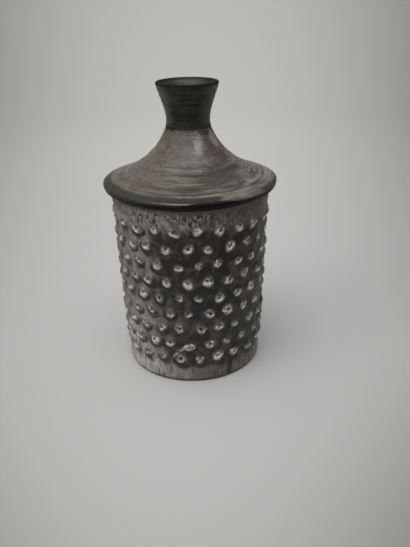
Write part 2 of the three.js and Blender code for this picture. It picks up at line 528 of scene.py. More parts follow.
    def done(self, colour: Socket, normal: Socket, roughness: Socket | None = None,
             gloss: Socket | None = None, coat: Socket | None = None) -> bpy.types.Material:
        """Links what varies over the piece to the shader, and leaves the rest at its plain values.

        Args:
            colour: base colour.
            normal: normal of the base.
            roughness: roughness of the base.
            gloss: specular level.
            coat: normal of the clear coat.

        Returns:
            The material.
        """
        given = {"Base Color": colour, "Normal": normal, "Coat Normal": coat, "Roughness": roughness,
                 "Specular IOR Level": gloss}
        for key, socket in given.items():
            if socket is not None:
                self.feed(self.shader.inputs[key], socket)
        return self.material


@dataclass(frozen=True)
class RubbedGlaze:
    """Dark glaze between the bosses, rubbed off their torn tips, over mauve-grey clay; its near-black also
    lays painted shade below the bosses, under the rim and along the foot.
    """

    clay: Colour = (0.112, 0.092, 0.083)
    clay_cool: Colour = (0.080, 0.075, 0.076)
    taupe: Colour = (0.150, 0.122, 0.094)
    pale_rose: Colour = (0.292, 0.254, 0.232)
    pale_olive: Colour = (0.265, 0.261, 0.221)
    pale_warm: Colour = (0.275, 0.240, 0.190)
    pale_cool: Colour = (0.232, 0.222, 0.236)
    bleached: Colour = (0.50, 0.48, 0.44)
    # near-black of the dark glaze, also the colour of the painted shade below the bosses, under the rim
    # and along the foot
    pooled_and_shade: Colour = (0.0080, 0.0072, 0.0050)
    pooled_blue: Colour = (0.0090, 0.0095, 0.0130)
    pooled_olive: Colour = (0.0125, 0.0135, 0.0080)
    pooled_plum: Colour = (0.0760, 0.0590, 0.0550)
    body: Colour = (0.106, 0.097, 0.080)
    plum: Colour = (0.118, 0.086, 0.086)
    tip: Colour = (0.32, 0.305, 0.272)
    tip_worn: Colour = (0.72, 0.70, 0.64)
    # near-black in the pits: painted shade in the holes
    pit: Colour = (0.004, 0.004, 0.003)

    def material(self) -> bpy.types.Material:
        """Lays clay, dark glaze with painted shade, marks, rubbed tips and pits over each other, as the
        wall is painted.

        Returns:
            The material.
        """
        r = Recipe("rubbed_glaze", roughness=0.5, specular=0.35)
        streak = r.noise(0.0034, 4, 0.6, warp=0.3, place=r.scaled((1, 1, 0.22)))
        blot = r.noise(0.014, 4, 0.6, warp=0.6)
        fine = r.noise(0.0012, 4, 0.65)
        stir = r.noise(0.0065, 5, 0.68, warp=0.8)
        torn = r.sum(r.swing(r.noise(0.0024, 5, 0.74, warp=1.2), 2.7), r.swing(fine, 1.5))
        # share of near-black: dark glaze between the bosses, and painted shade below them, under the rim
        # and along the foot
        dark_glaze_and_shade = r.step(r.ragged("pooled_and_shade", stir, 2.0), 0.0, 0.96)
        colour = self._bare_clay(r, streak, blot, stir)
        colour = self._pooled_glaze_and_shade(r, colour, dark_glaze_and_shade)
        colour = self._marks(r, colour, blot)
        colour = self._rubbed_tips(r, colour, torn)
        # The pits are painted near-black: painted shade in the holes.
        colour = r.blend(r.step(r.ragged("pit", fine, 0.5), 0.35, 0.7), colour, self.pit)
        normal = r.bump(fine, 0.00035, 0.5)
        normal = r.bump(streak, 0.0006, 0.4, normal)
        normal = r.bump(blot, 0.0015, 0.4, normal)
        normal = r.bump(r.times(torn, r.step(r.painted("tip"), 0.0, 0.5)), 0.0004, 0.7, normal)
        return r.done(colour, normal, r.step(dark_glaze_and_shade, 0.0, 1.0, 0.65, 0.4))

    def _bare_clay(self, r: Recipe, streak: Socket, blot: Socket, stir: Socket) -> Socket:
        """The clay: mauve-grey and taupe, paler in patches where it is painted pale, with cooler streaks.

        Args:
            r: the material's recipe.
            streak: noise drawn out upwards, for the streaks.
            blot: broad noise, for the clay's own two colours.
            stir: ragged noise, for the edges of the pale patches.

        Returns:
            The clay's colour.
        """
        colour = r.blend(r.step(blot, 0.4, 0.6), self.clay, self.taupe)
        olive = r.step(r.noise(0.010, 3, 0.6, warp=0.8), 0.44, 0.56)
        cool = r.step(r.noise(0.015, 3, 0.6, warp=0.5), 0.52, 0.62)
        pale = r.blend(olive, self.pale_rose, self.pale_olive)
        pale = r.blend(r.times(r.painted("warm"), 0.8), pale, self.pale_warm)
        pale = r.blend(r.times(cool, 0.7), pale, self.pale_cool)
        bare = r.ragged("pale", stir, 2.2)
        colour = r.blend(r.step(bare, 0.15, 0.9), colour, pale)
        colour = r.blend(r.step(bare, 1.0, 1.9), colour, self.bleached)
        return r.blend(r.times(r.step(streak, 0.46, 0.66), 0.5), colour, self.clay_cool)

    def _pooled_glaze_and_shade(self, r: Recipe, colour: Socket, dark_glaze_and_shade: Socket) -> Socket:
        """Near-black glaze, bluer and greener in patches, plum where it is thin, with a blush round it; it
        also lays the painted shade.

        Args:
            r: the material's recipe.
            colour: the colour below.
            dark_glaze_and_shade: the share of dark glaze and of painted shade.

        Returns:
            The colour with the glaze on it.
        """
        blue = r.step(r.noise(0.019, 2), 0.5, 0.62)
        olive = r.step(r.noise(0.023, 2, place=r.scaled((1, 1, 1.2))), 0.54, 0.64)
        thin = r.step(r.noise(0.0075, 3, 0.58, warp=0.8), 0.46, 0.66, 0, 0.80)
        deep = r.blend(blue, self.pooled_and_shade, self.pooled_blue)
        deep = r.blend(olive, deep, self.pooled_olive)
        deep = r.blend(thin, deep, self.pooled_plum)
        colour = r.blend(r.times(dark_glaze_and_shade, 0.95), colour, deep)
        blush = r.step(r.sum(r.painted("blush"), r.noise(0.0085, 4, 0.6, warp=1.2)), 0.52, 0.68)
        return r.blend(r.times(blush, r.step(dark_glaze_and_shade, 0.35, 0.9, 0.7, 0.15)), colour, self.plum)

    def _marks(self, r: Recipe, colour: Socket, blot: Socket) -> Socket:
        """Pale and dark marks: short ones where the mouth is scored, upright ones on the scraped foot.

        Args:
            r: the material's recipe.
            colour: the colour below.
            blot: broad noise, which thins the marks on the foot.

        Returns:
            The colour with the marks on it.
        """
        mark = r.noise(0.0019, 5, 0.70, warp=0.7, place=r.scaled((1, 1, 0.5)))
        scored = r.times(r.painted("scored"), r.step(r.noise(0.009, 3), 0.36, 0.50))
        colour = r.blend(r.times(scored, r.step(mark, 0.50, 0.57, 0, 0.95)), colour, self.tip)
        colour = r.blend(r.times(scored, r.step(mark, 0.49, 0.41, 0, 0.72)), colour, self.pooled_and_shade)
        line = r.noise(0.0014, 3, 0.6, place=r.scaled((1, 1, 0.10)))
        scraped = r.times(r.painted("scraped"), r.step(blot, 0.38, 0.62, 1.0, 0.45))
        colour = r.blend(r.times(scraped, r.step(line, 0.54, 0.66, 0, 0.65)), colour, self.pooled_and_shade)
        return r.blend(r.times(scraped, r.step(line, 0.47, 0.36, 0, 0.25)), colour, self.tip)

    def _rubbed_tips(self, r: Recipe, colour: Socket, torn: Socket) -> Socket:
        """The bosses' tips: a halo of clay, then pale and, where they stand out most, almost white.

        Args:
            r: the material's recipe.
            colour: the colour below.
            torn: ragged noise, by which the tips are rubbed unevenly.

        Returns:
            The colour with the tips on it.
        """
        colour = r.blend(r.step(r.painted("tip"), 0.0, 0.38, 0, 0.85), colour, self.body)
        worn = r.sum(r.painted("tip"), r.times(torn, r.step(r.painted("tip"), 0.0, 0.3)))
        colour = r.blend(r.step(worn, 0.26, 0.78), colour, self.tip)
        return r.blend(r.step(worn, 0.64, 0.98), colour, self.tip_worn)


@dataclass(frozen=True)
class StreakedGlaze:
    """Grey-brown glaze that runs in rings round the dome, dark at the rim and under the knob, with painted
    shade under the rim, a painted sheen on the neck and a painted highlight along the rim's front.
    """

    olive: Colour = (0.102, 0.097, 0.057)
    grey: Colour = (0.114, 0.102, 0.088)
    cool: Colour = (0.100, 0.090, 0.081)
    mauve: Colour = (0.106, 0.075, 0.064)
    rust: Colour = (0.086, 0.047, 0.035)
    tan: Colour = (0.215, 0.185, 0.152)
    thick: Colour = (0.040, 0.034, 0.027)
    # pale thin glaze; also the painted sheen below the glint on the neck and the painted highlight along
    # the rim's front
    thin: Colour = (0.245, 0.222, 0.180)
    drip: Colour = (0.028, 0.019, 0.015)
    run: Colour = (0.050, 0.029, 0.023)
    edge: Colour = (0.0125, 0.0124, 0.0096)
    edge_thin: Colour = (0.0215, 0.0222, 0.0165)
    # near-black under the rim: dark glaze and painted shade on the underside
    dark: Colour = (0.0042, 0.0038, 0.0029)
    collar: Colour = (0.0190, 0.0155, 0.0110)

    def material(self) -> bpy.types.Material:
        """Lays the glaze's colours, layers and dark edges over each other, as the dome is painted.

        Returns:
            The material, with a clear coat whose own dents break up the glint.
        """
        r = Recipe("streaked_glaze", roughness=0.38, specular=0.4, coat=0.22)
        flat = r.scaled((1, 1, 2.4))
        blot = r.noise(0.012, 4, 0.6, warp=0.8, place=flat)
        fine = r.noise(0.0015, 4, 0.62)
        streak = r.noise(0.0017, 4, 0.62, warp=0.4, place=r.swept())
        dented = r.noise(0.0036, 4, 0.62, warp=0.9)
        colour = self._ground(r, r.noise(0.030, 3, 0.5, place=flat), blot)
        colour = self._rings(r, colour, blot, streak)
        colour = self._layers(r, colour, blot, fine)
        edge = r.step(r.sum(r.ragged("edge", fine, 0.8), r.swing(streak, 0.9)), 0.2, 0.9)
        # Near-black under the rim: dark glaze and painted shade on the underside.
        dark = r.step(r.ragged("dark", fine, 0.5), 0.3, 0.8)
        collar = r.step(r.sum(r.ragged("collar", fine, 0.9), r.swing(blot, 0.6)), 0.1, 0.9)
        mottled = r.step(r.noise(0.0045, 4, 0.65, warp=0.7), 0.44, 0.60)
        colour = r.blend(r.times(edge, 0.88), colour, r.blend(mottled, self.edge, self.edge_thin))
        colour = r.blend(dark, colour, self.dark)
        colour = r.blend(collar, colour, r.blend(r.painted("rusty"), self.collar, self.run))
        normal = r.bump(fine, 0.00025, 0.5)
        normal = r.bump(streak, 0.0005, 0.6, normal)
        normal = r.bump(dented, 0.0009, 0.5, normal)
        rough = r.sum(r.step(streak, 0.4, 0.62, 0.44, 0.28), r.times(dark, 0.3))
        rough = r.sum(rough, r.step(dented, 0.56, 0.44, -0.07, 0.10))
        gloss = r.step(r.sum(dark, r.times(edge, 0.42)), 0.0, 1.0, 0.40, 0.06)
        return r.done(colour, normal, rough, gloss, coat=r.bump(dented, 0.0011, 0.5))

    def _ground(self, r: Recipe, broad: Socket, blot: Socket) -> Socket:
        """The glaze's ground: olive, grey and mauve, and cooler where it is painted cool.

        Args:
            r: the material's recipe.
            broad: the broadest noise, for olive and grey.
            blot: broad noise, for the mauve.

        Returns:
            The ground's colour.
        """
        colour = r.blend(r.step(broad, 0.44, 0.60), self.olive, self.grey)
        colour = r.blend(r.times(r.step(blot, 0.46, 0.60), 0.85), colour, self.mauve)
        cool = r.times(r.painted("cool"), r.step(blot, 0.40, 0.56, 0.95, 0.55))
        return r.blend(cool, colour, self.cool)

    def _rings(self, r: Recipe, colour: Socket, blot: Socket, streak: Socket) -> Socket:
        """Glaze along the throwing rings: tan on the ridges, dark in the grooves, rusty at the right.

        Args:
            r: the material's recipe.
            colour: the colour below.
            blot: broad noise, by which a ring fades and comes back.
            streak: fine noise that runs round the axis.

        Returns:
            The colour with the rings on it.
        """
        high = r.step(r.ragged("ring", blot, 1.6), 0.1, 1.1)
        colour = r.blend(r.times(high, 0.75), colour, self.tan)
        colour = r.blend(r.step(streak, 0.54, 0.70, 0, 0.55), colour, self.tan)
        colour = r.blend(r.step(streak, 0.46, 0.32, 0, 0.65), colour, self.thick)
        swath = r.noise(0.0034, 4, 0.6, warp=0.3, place=r.swept())
        banded = r.painted("banded")
        colour = r.blend(r.times(banded, r.step(swath, 0.50, 0.42, 0, 0.90)), colour, self.thick)
        colour = r.blend(r.times(banded, r.step(swath, 0.54, 0.63, 0, 0.75)), colour, self.tan)
        rusty = r.times(r.painted("rusty"), r.step(streak, 0.56, 0.44))
        colour = r.blend(rusty, colour, self.rust)
        low = r.step(r.sum(r.times(r.painted("ring"), -1.0), r.swing(blot, 1.6)), 0.1, 1.0)
        return r.blend(r.times(low, 0.6), colour, self.drip)

    def _layers(self, r: Recipe, colour: Socket, blot: Socket, fine: Socket) -> Socket:
        """Thick and thin patches, the brown run down the neck, and tan specks over all. The patches also
        carry painted shade, the painted sheen on the neck and the rim's painted highlight.

        Args:
            r: the material's recipe.
            colour: the colour below.
            blot: broad noise, for the edges of the patches.
            fine: fine noise, for the edge of the run.

        Returns:
            The colour with them on it.
        """
        # thick: the glaze's thick and thin patches, with painted shade, the painted sheen on the neck and
        # the rim's painted highlight
        layer = r.ragged("thick", blot, 0.9)
        colour = r.blend(r.step(layer, 0.0, 1.0), colour, self.thick)
        mottled = r.sum(layer, r.swing(r.noise(0.0035, 4, 0.65, warp=0.6), 0.9))
        colour = r.blend(r.step(mottled, 0.0, -1.0), colour, self.thin)
        run = r.step(r.ragged("run", fine, 0.8), 0.3, 0.9)
        colour = r.blend(r.times(run, 0.85), colour, self.run)
        speck = r.step(r.noise(0.0022, 3, 0.6, place=r.scaled((1, 1, 0.6))), 0.60, 0.70)
        return r.blend(r.times(speck, 0.35), colour, self.tan)


@dataclass(frozen=True)
class DarkGlaze:
    """Near-black brown glaze on the knob, darker and duller on its lip and foot, greener in its cup, with
    a painted sheen on its sides and a painted highlight in the cup.
    """

    brown: Colour = (0.0235, 0.0195, 0.0110)
    black: Colour = (0.0048, 0.0045, 0.0028)
    worn: Colour = (0.040, 0.034, 0.027)
    # painted sheen on the knob's sides and round its upper flare
    thin: Colour = (0.088, 0.077, 0.064)
    lip: Colour = (0.0105, 0.0098, 0.0078)
    cup: Colour = (0.024, 0.026, 0.0215)
    # painted highlight on the cup's far inner wall
    cup_highlight_colour: Colour = (0.100, 0.106, 0.095)

    def material(self) -> bpy.types.Material:
        """Mixes the knob's colours by the rings, the lip, the cup, and the painted sheen and highlight
        that are painted on it.

        Returns:
            The material.
        """
        r = Recipe("dark_glaze", roughness=0.42, specular=0.5)
        blot = r.noise(0.008, 4, 0.6, place=r.scaled((1, 1, 2.6)))
        fine = r.noise(0.0012, 4, 0.6)
        streak = r.noise(0.0015, 4, 0.62, warp=0.3, place=r.swept())
        colour = r.blend(r.step(blot, 0.44, 0.58), self.black, self.brown)
        colour = r.blend(r.step(streak, 0.50, 0.64, 0, 0.55), colour, self.worn)
        colour = r.blend(r.step(streak, 0.46, 0.34, 0, 0.7), colour, self.black)
        ring = r.painted("ring")
        colour = r.blend(r.times(r.step(ring, 0.1, 0.9), 0.45), colour, self.worn)
        colour = r.blend(r.times(r.step(ring, -0.1, -0.8), 0.7), colour, self.black)
        # A painted sheen on the knob's sides, most at the left, and round its upper flare.
        colour = r.blend(r.times(r.painted("thin"), r.step(blot, 0.3, 0.6, 0.7, 1.0)), colour, self.thin)
        lip = r.step(r.painted("lip"), 0.15, 0.9)
        colour = r.blend(r.times(lip, 0.85), colour, self.lip)
        # A painted highlight on the cup's far inner wall.
        cup = r.blend(r.painted("cup_highlight"), self.cup, self.cup_highlight_colour)
        colour = r.blend(r.times(r.painted("cup"), r.step(fine, 0.2, 0.6, 0.7, 1.0)), colour, cup)
        rough = r.sum(r.step(blot, 0.4, 0.6, 0.50, 0.38), r.times(lip, 0.3))
        gloss = r.step(lip, 0.0, 1.0, 0.42, 0.12)
        return r.done(colour, r.bump(fine, 0.0002, 0.4), rough, gloss)


@dataclass(frozen=True)
class InnerGlaze:
    """Thin dark glaze inside the pot, which stops short of the bare foot."""

    thin: Colour = (0.060, 0.050, 0.040)
    thick: Colour = (0.024, 0.021, 0.017)
    clay: Colour = (0.20, 0.145, 0.105)

    def material(self) -> bpy.types.Material:
        """Glaze all over, but bare clay where the piece is painted bare.

        Returns:
            The material.
        """
        r = Recipe("inner_glaze", roughness=0.4, specular=0.45)
        blot = r.noise(0.012, 4, 0.6, warp=0.5)
        grit = r.noise(0.0011, 3, 0.7)
        colour = r.blend(r.step(blot, 0.4, 0.62), self.thick, self.thin)
        bare = r.step(r.ragged("bare", grit, 0.4), 0.35, 0.65)
        colour = r.blend(bare, colour, self.clay)
        return r.done(colour, r.bump(grit, 0.0003, 0.5), r.step(bare, 0, 1, 0.38, 0.85))


@dataclass(frozen=True)
class BareClay:
    """Fired clay with a little grog in it, where no glaze may stick."""

    clay: Colour = (0.215, 0.150, 0.105)
    pale: Colour = (0.300, 0.225, 0.165)

    def material(self) -> bpy.types.Material:
        """Clay with paler grog and a toothy surface.

        Returns:
            The material.
        """
        r = Recipe("bare_clay", roughness=0.85, specular=0.3)
        grit = r.noise(0.0010, 4, 0.7)
        colour = r.blend(r.step(grit, 0.5, 0.68), self.clay, self.pale)
        colour = r.blend(r.times(r.step(r.noise(0.014, 3), 0.45, 0.65), 0.5), colour, self.clay)
        return r.done(colour, r.bump(grit, 0.0003, 0.7))


# The pot


@dataclass(frozen=True)
class Bosses:
    """Staggered rows of bosses, pushed out through the wall until the clay burst."""

    rows: int = 9
    per_row: int = 24
    first_height: float = 20.5 * MM
    row_step: float = 12.0125 * MM
    front_angle: float = math.radians(5.7)
    foot: float = 4.9 * MM
    height: float = 1.45 * MM
    lip: float = 1.95 * MM
    lip_width: float = 0.80 * MM
    lump: float = 0.60 * MM
    crater: float = 0.45 * MM
    pit: float = 0.88 * MM
    pit_depth: float = 1.3 * MM
    drift: float = 1.1 * MM
    size_spread: float = 0.17

    def nearest(self, angle: Array, height: Array, radius: Array) -> tuple[Array, ...]:
        """Finds each point's nearest boss, among the nine round the lattice place nearest to it.

        Args:
            angle: angle round the pot of each point.
            height: height of each point.
            radius: radius of the bare wall at each point.

        Returns:
            How far each point lies to the right of its boss and above it, and the boss's row and column.
        """
        angle, height, radius = np.broadcast_arrays(angle, height, radius)
        near_row = np.rint((height - self.first_height) / self.row_step).astype(int)
        pitch = 2 * math.pi / self.per_row
        best = np.full(angle.shape, np.inf)
        found = [np.zeros(angle.shape) for _ in range(4)]
        for row_offset in (-1, 0, 1):
            row = np.clip(near_row + row_offset, 0, self.rows - 1)
            stagger = (row % 2) / 2
            near_column = np.rint((angle - self.front_angle) / pitch - stagger).astype(int)
            for column_offset in (-1, 0, 1):
                column = (near_column + column_offset) % self.per_row
                centre = (self.front_angle + (column + stagger) * pitch
                          + self.drift * uneven(row, column, 3) / radius)
                turned = (angle - centre + math.pi) % (2 * math.pi) - math.pi
                across = turned * radius
                up = height - self.first_height - row * self.row_step
                up = up - self.drift * uneven(row, column, 2)
                distance = np.hypot(across, up)
                closer = distance < best
                best = np.where(closer, distance, best)
                found = [np.where(closer, new, old)
                         for new, old in zip((across, up, row, column), found, strict=True)]
        return tuple(found)

    def burst(self, angle: Array, height: Array, radius: Array) -> tuple[Array, dict[str, Array]]:
        """Works out the relief of the bosses, and what glaze and painted shadow lie on them.

        A boss is a low cone with a torn lip on it, whose radius and height swing with the angle round the
        boss, about a shallow crater. One or two pits go through the crater.

        Args:
            angle: angle round the pot of each point.
            height: height of each point.
            radius: radius of the bare wall at each point.

        Returns:
            The relief, and what is painted: tip, pit, the dark glaze and painted shadow below the boss,
                and near, 1 on a boss.
        """
        across, up, row, column = self.nearest(angle, height, radius)
        size = 1 + self.size_spread * uneven(row, column, 1)
        across, up = across / size, up / size
        distance, way = np.hypot(across, up), np.arctan2(up, across)
        swing = [math.pi * uneven(row, column, kind) for kind in range(4, 9)]
        foot = self.foot * (1 + 0.09 * np.cos(2 * way + swing[4]) + 0.08 * np.cos(3 * way + swing[2]))
        mound = self.height * (1 - ease(0.22, 1.0, distance / foot))
        lip = self.lip * (1 + 0.27 * np.cos(2 * way + swing[0]) + 0.21 * np.cos(3 * way + swing[1]))
        lower = -np.sin(way) * ease(0, lip, distance)
        tear = np.clip(0.50 + 0.34 * np.cos(way + swing[2]) + 0.34 * np.cos(3 * way + swing[3])
                       + 0.22 * np.cos(5 * way + swing[1]) + 0.22 * lower, 0, 1.2)
        ridge = bell(distance - lip, self.lip_width) * tear
        bowl = (1 - ease(0.2, 1.0, distance / lip)) * ease(-0.9, 0.5, uneven(row, column, 11))
        first = self._pit(across, up, row, column, 12, self.pit)
        second = self._pit(across, up, row, column, 15, 0.8 * self.pit)
        pits = np.maximum(first * ease(-0.9, -0.3, uneven(row, column, 14)),
                          second * ease(-0.1, 0.2, uneven(row, column, 17)))
        relief = mound + self.lump * ridge - self.crater * bowl - self.pit_depth * pits
        cap = 1 - ease(0.40, 0.98, distance / foot)
        tip = cap * np.clip(0.52 + 0.28 * lower + 0.20 * uneven(row, column, 18), 0, 1) + 0.72 * ridge
        # Below each boss: a crescent, and a broad blot below and to its right, partly dark glaze gathered
        # there and partly the boss's painted shadow.
        below = bell(distance - 0.98 * foot, 1.5 * MM) * (0.5 - 0.5 * np.sin(way)) ** 1.8
        blot = bell(across - 1.2 * MM, 3.5 * MM) * bell(up + 5.6 * MM, 2.6 * MM)
        shadow_and_glaze_below = np.maximum(0.95 * below, (0.85 + 0.3 * uneven(row, column, 19)) * blot)
        near = 1 - ease(0.6, 1.25, distance / foot)
        return relief * size, {"tip": tip, "pit": pits, "shadow_and_glaze_below": shadow_and_glaze_below, "near": near}

    def _pit(self, across: Array, up: Array, row: Array, column: Array, kind: int, width: float) -> Array:
        """A bell-shaped pit near the boss's middle, mostly above it.

        Args:
            across: how far each point lies to the right of its boss.
            up: how far it lies above it.
            row: row of the boss.
            column: column of the boss.
            kind: the trait that places the pit sideways; the next one places it upwards.
            width: width of the bell.

        Returns:
            The pit's share of its depth.
        """
        aside = 0.9 * MM * uneven(row, column, kind)
        above = 0.35 * MM + 0.75 * MM * uneven(row, column, kind + 1)
        return bell(np.hypot(across - aside, up - above), width)


@dataclass
class Pot:
    """The slab-built wall and the floor inside its foot."""

    foot_radius: float = 49.9 * MM
    foot_rounding: float = 2.0 * MM
    mouth_radius: float = 55.6 * MM
    mouth_flare: float = 1.6 * MM
    flare_height: float = 13.0 * MM
    mouth_rounding: float = 1.2 * MM
    wall: float = 6.0 * MM
    luting: float = 0.3 * MM
    bosses: Bosses = field(default_factory=Bosses)
    floor_softness: float = 0.5 * MM
    floor_wear: float = 0.6 * MM
    floor_dishing: float = 0.5 * MM
    columns: int = 480
    floor_columns: int = 96
    spacing: float = 0.79 * MM
    edge_spacing: float = 0.6 * MM
    inner_spacing: float = 7.0 * MM
    seam_angle: float = -4.2
    drag_angle: float = -2.8
    drag_height: float = 29.7 * MM
    drag_length: float = 12.0 * MM

    def __post_init__(self) -> None:
        """Takes the heights from the frame."""
        self.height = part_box("pot_wall")[1].z
        self.floor_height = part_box("pot_floor")[1].z
        self.flare_start = self.height - self.flare_height
        self.neck_radius = self.mouth_radius - self.mouth_flare

    def radius(self, height: float | Array) -> Array:
        """Outside radius of the bare wall: a straight taper, then a flare that grows as a square.

        Args:
            height: a height above the ground, or many.

        Returns:
            The radius at each of them.
        """
        share = np.clip((height - self.foot_rounding) / (self.flare_start - self.foot_rounding), None, 1)
        flare = np.clip((height - self.flare_start) / self.flare_height, 0, None)
        taper = (self.neck_radius - self.foot_radius) * share
        return self.foot_radius + taper + self.mouth_flare * flare**2

    def outline(self) -> tuple[Array, Array]:
        """Runs round the wall's section: up the outside, over the mouth and down the inside.

        Returns:
            The section's points, and for each its share of the outside's texture, from 0 to 1.
        """
        top, rim = self.height, self.mouth_rounding
        foot = float(self.radius(0.0))
        outside_heights = np.linspace(self.foot_rounding, top - rim, 200)
        outside = np.stack([self.radius(outside_heights), outside_heights], axis=1)
        inside = np.stack([self.radius(outside_heights) - self.wall, outside_heights], axis=1)[::-1]
        mouth, mouth_in = self.mouth_radius, self.mouth_radius - self.wall
        underside = np.array([[foot - self.wall, 0], [foot - self.foot_rounding, 0]])
        edge = quarter((foot - self.foot_rounding, 0), (foot, 0), (self.foot_radius, self.foot_rounding))
        lip = chain(
            quarter((mouth, top - rim), (mouth, top), (mouth - rim, top)),
            quarter((mouth_in + rim, top), (mouth_in, top), (mouth_in, top - rim)),
        )
        section = chain(
            evenly(underside, 2 * MM),
            evenly(edge, self.edge_spacing),
            evenly(outside, self.spacing),
            evenly(lip, self.edge_spacing),
            evenly(inside, self.inner_spacing),
        )
        height = section[:, 1]
        tall = np.abs(section[:, 0] - self.radius(height)) < 0.4 * MM
        return section, tall * ease(0.5 * MM, 3 * MM, height) * ease(top - 0.5 * MM, top - 4 * MM, height)

    def relief(self, section: Array, share: Array) -> tuple[Array, dict[str, Array]]:
        """Adds up the outside's texture: bosses, the slab between them, its seam and the dragged boss.

        Args:
            section: the wall's section, as outline gives it.
            share: the share of the texture that each of its points takes.

        Returns:
            How far each point stands out, and what is painted on it.
        """
        turn, height = turns(self.columns), section[:, 1:]
        angle = 2 * math.pi * turn
        bare = self.radius(height)
        raised, boss = self.bosses.burst(angle, height, bare)
        drag, smear, kept = self._drag(angle, height, bare)
        raised = raised * kept + self._slab(turn, height) * (1 - 0.6 * boss["near"])
        raised = raised + self._seam(angle, height, bare) + 1.1 * MM * drag
        boss = {key: values * kept for key, values in boss.items()}
        painted = {
            "tip": np.maximum(boss["tip"], 1.2 * smear),
            "pit": boss["pit"],
            # dark glaze between the bosses, with painted shade, and the painted shadow below each boss
            "pooled_and_shade": self.pooling_and_shade(angle, height, bare) + 1.55 * boss["shadow_and_glaze_below"] - 0.5 * drag
                      - 0.30 * boss["near"] * (1 - boss["shadow_and_glaze_below"]),
            # pale: pale clay, with a painted sheen at the far right
            "pale": self.paleness_and_sheen(angle, height, bare),
            **self._handling(angle, height, bare),
        }
        painted = {key: share[:, None] * values for key, values in painted.items()}
        # A painted contact shadow along the outside of the foot's bottom edge.
        outside = section[:, :1] > self.foot_radius - 1.2 * MM
        painted["pooled_and_shade"] = painted["pooled_and_shade"] + 0.8 * outside * ease(2.8 * MM, 1.0 * MM, height)
        return share[:, None] * raised, painted

    def _scored(self, height: Array) -> Array:
        """The band below the mouth that was scored all round."""
        return ease(117 * MM, 121 * MM, height) * ease(131 * MM, 128 * MM, height)

    def _slab(self, turn: Array, height: Array) -> Array:
        """The slab's own unevenness, with the scoring below the mouth and the scraping above the foot.

        Args:
            turn: place round the pot, in turns.
            height: height of each point.

        Returns:
            How far each point stands out.
        """
        slab = 0.34 * MM * ripple(turn, height / (12 * MM), 26, 11)
        slab = slab + 0.14 * MM * ripple(turn, height / (3 * MM), 110, 12)
        slab = slab + 0.45 * MM * self._scored(height) * ripple(turn, height / (4.5 * MM), 160, 13)
        scraped = ease(17 * MM, 12 * MM, height)
        return slab + 0.13 * MM * scraped * ripple(turn, height / (30 * MM), 190, 14)

    def _handling(self, angle: Array, height: Array, bare: Array) -> dict[str, Array]:
        """What else is painted: the scored and scraped bands, a plum blush and warm clay at the left.

        Args:
            angle: angle round the pot of each point.
            height: height of each point.
            bare: radius of the bare wall at each point.

        Returns:
            Their shares, by name.
        """
        across = apart(angle, self.seam_angle) * bare
        blush = 0.16 * bell(across - 11 * MM, 8 * MM) * ease(20 * MM, 10 * MM, height)
        blush = blush + 0.03 * ease(100 * MM, 118 * MM, height) * facing(angle, 5, 0.3)
        warm = ease(108 * MM, 120 * MM, height) * facing(angle, -60, 0.5)
        warm = np.maximum(warm, 0.75 * ease(66 * MM, 92 * MM, height) * facing(angle, -52, 0.80))
        return {
            "scored": self._scored(height) * (0.45 + 0.75 * facing(angle, -16, 0.66)),
            "scraped": ease(18 * MM, 11 * MM, height) * (1 - bell(across - 0.8 * MM, 3 * MM)),
            "blush": blush,
            "warm": warm,
        }

    def _seam(self, angle: Array, height: Array, bare: Array) -> Array:
        """The slab's upright seam near the foot: a groove between two low ridges.

        Args:
            angle: angle round the pot of each point.
            height: height of each point.
            bare: radius of the bare wall at each point.

        Returns:
            How far each point stands out.
        """
        across = apart(angle, self.seam_angle) * bare
        low = ease(19 * MM, 14 * MM, height)
        ridges = 0.3 * MM * (bell(across + 1.3 * MM, 0.55 * MM) + 0.8 * bell(across - 1.2 * MM, 0.5 * MM))
        return low * (ridges - 0.35 * MM * bell(across, 0.6 * MM))

    def _cracks(self, angle: Array, height: Array, bare: Array) -> Array:
        """Glaze in three cracks of the scraped foot: two run up it, and one slants between them.

        Args:
            angle: angle round the pot of each point.
            height: height of each point.
            bare: radius of the bare wall at each point.

        Returns:
            The share of glaze.
        """
        stray = 1.1 * MM * ripple(angle / (2 * math.pi), height / (5 * MM), 12, 15)
        tall = 0.85 * bell(apart(angle, 31.5) * bare + stray, 2.2 * MM)
        short = 0.8 * bell(apart(angle, -30) * bare + 0.5 * stray, 1.0 * MM)
        slant = 0.9 * bell(apart(angle, 17.6) * bare - height + 6 * MM, 0.8 * MM)
        return (tall + short * ease(8 * MM, 6 * MM, height)
                + slant * ease(10 * MM, 9 * MM, height) * ease(2 * MM, 3 * MM, height))

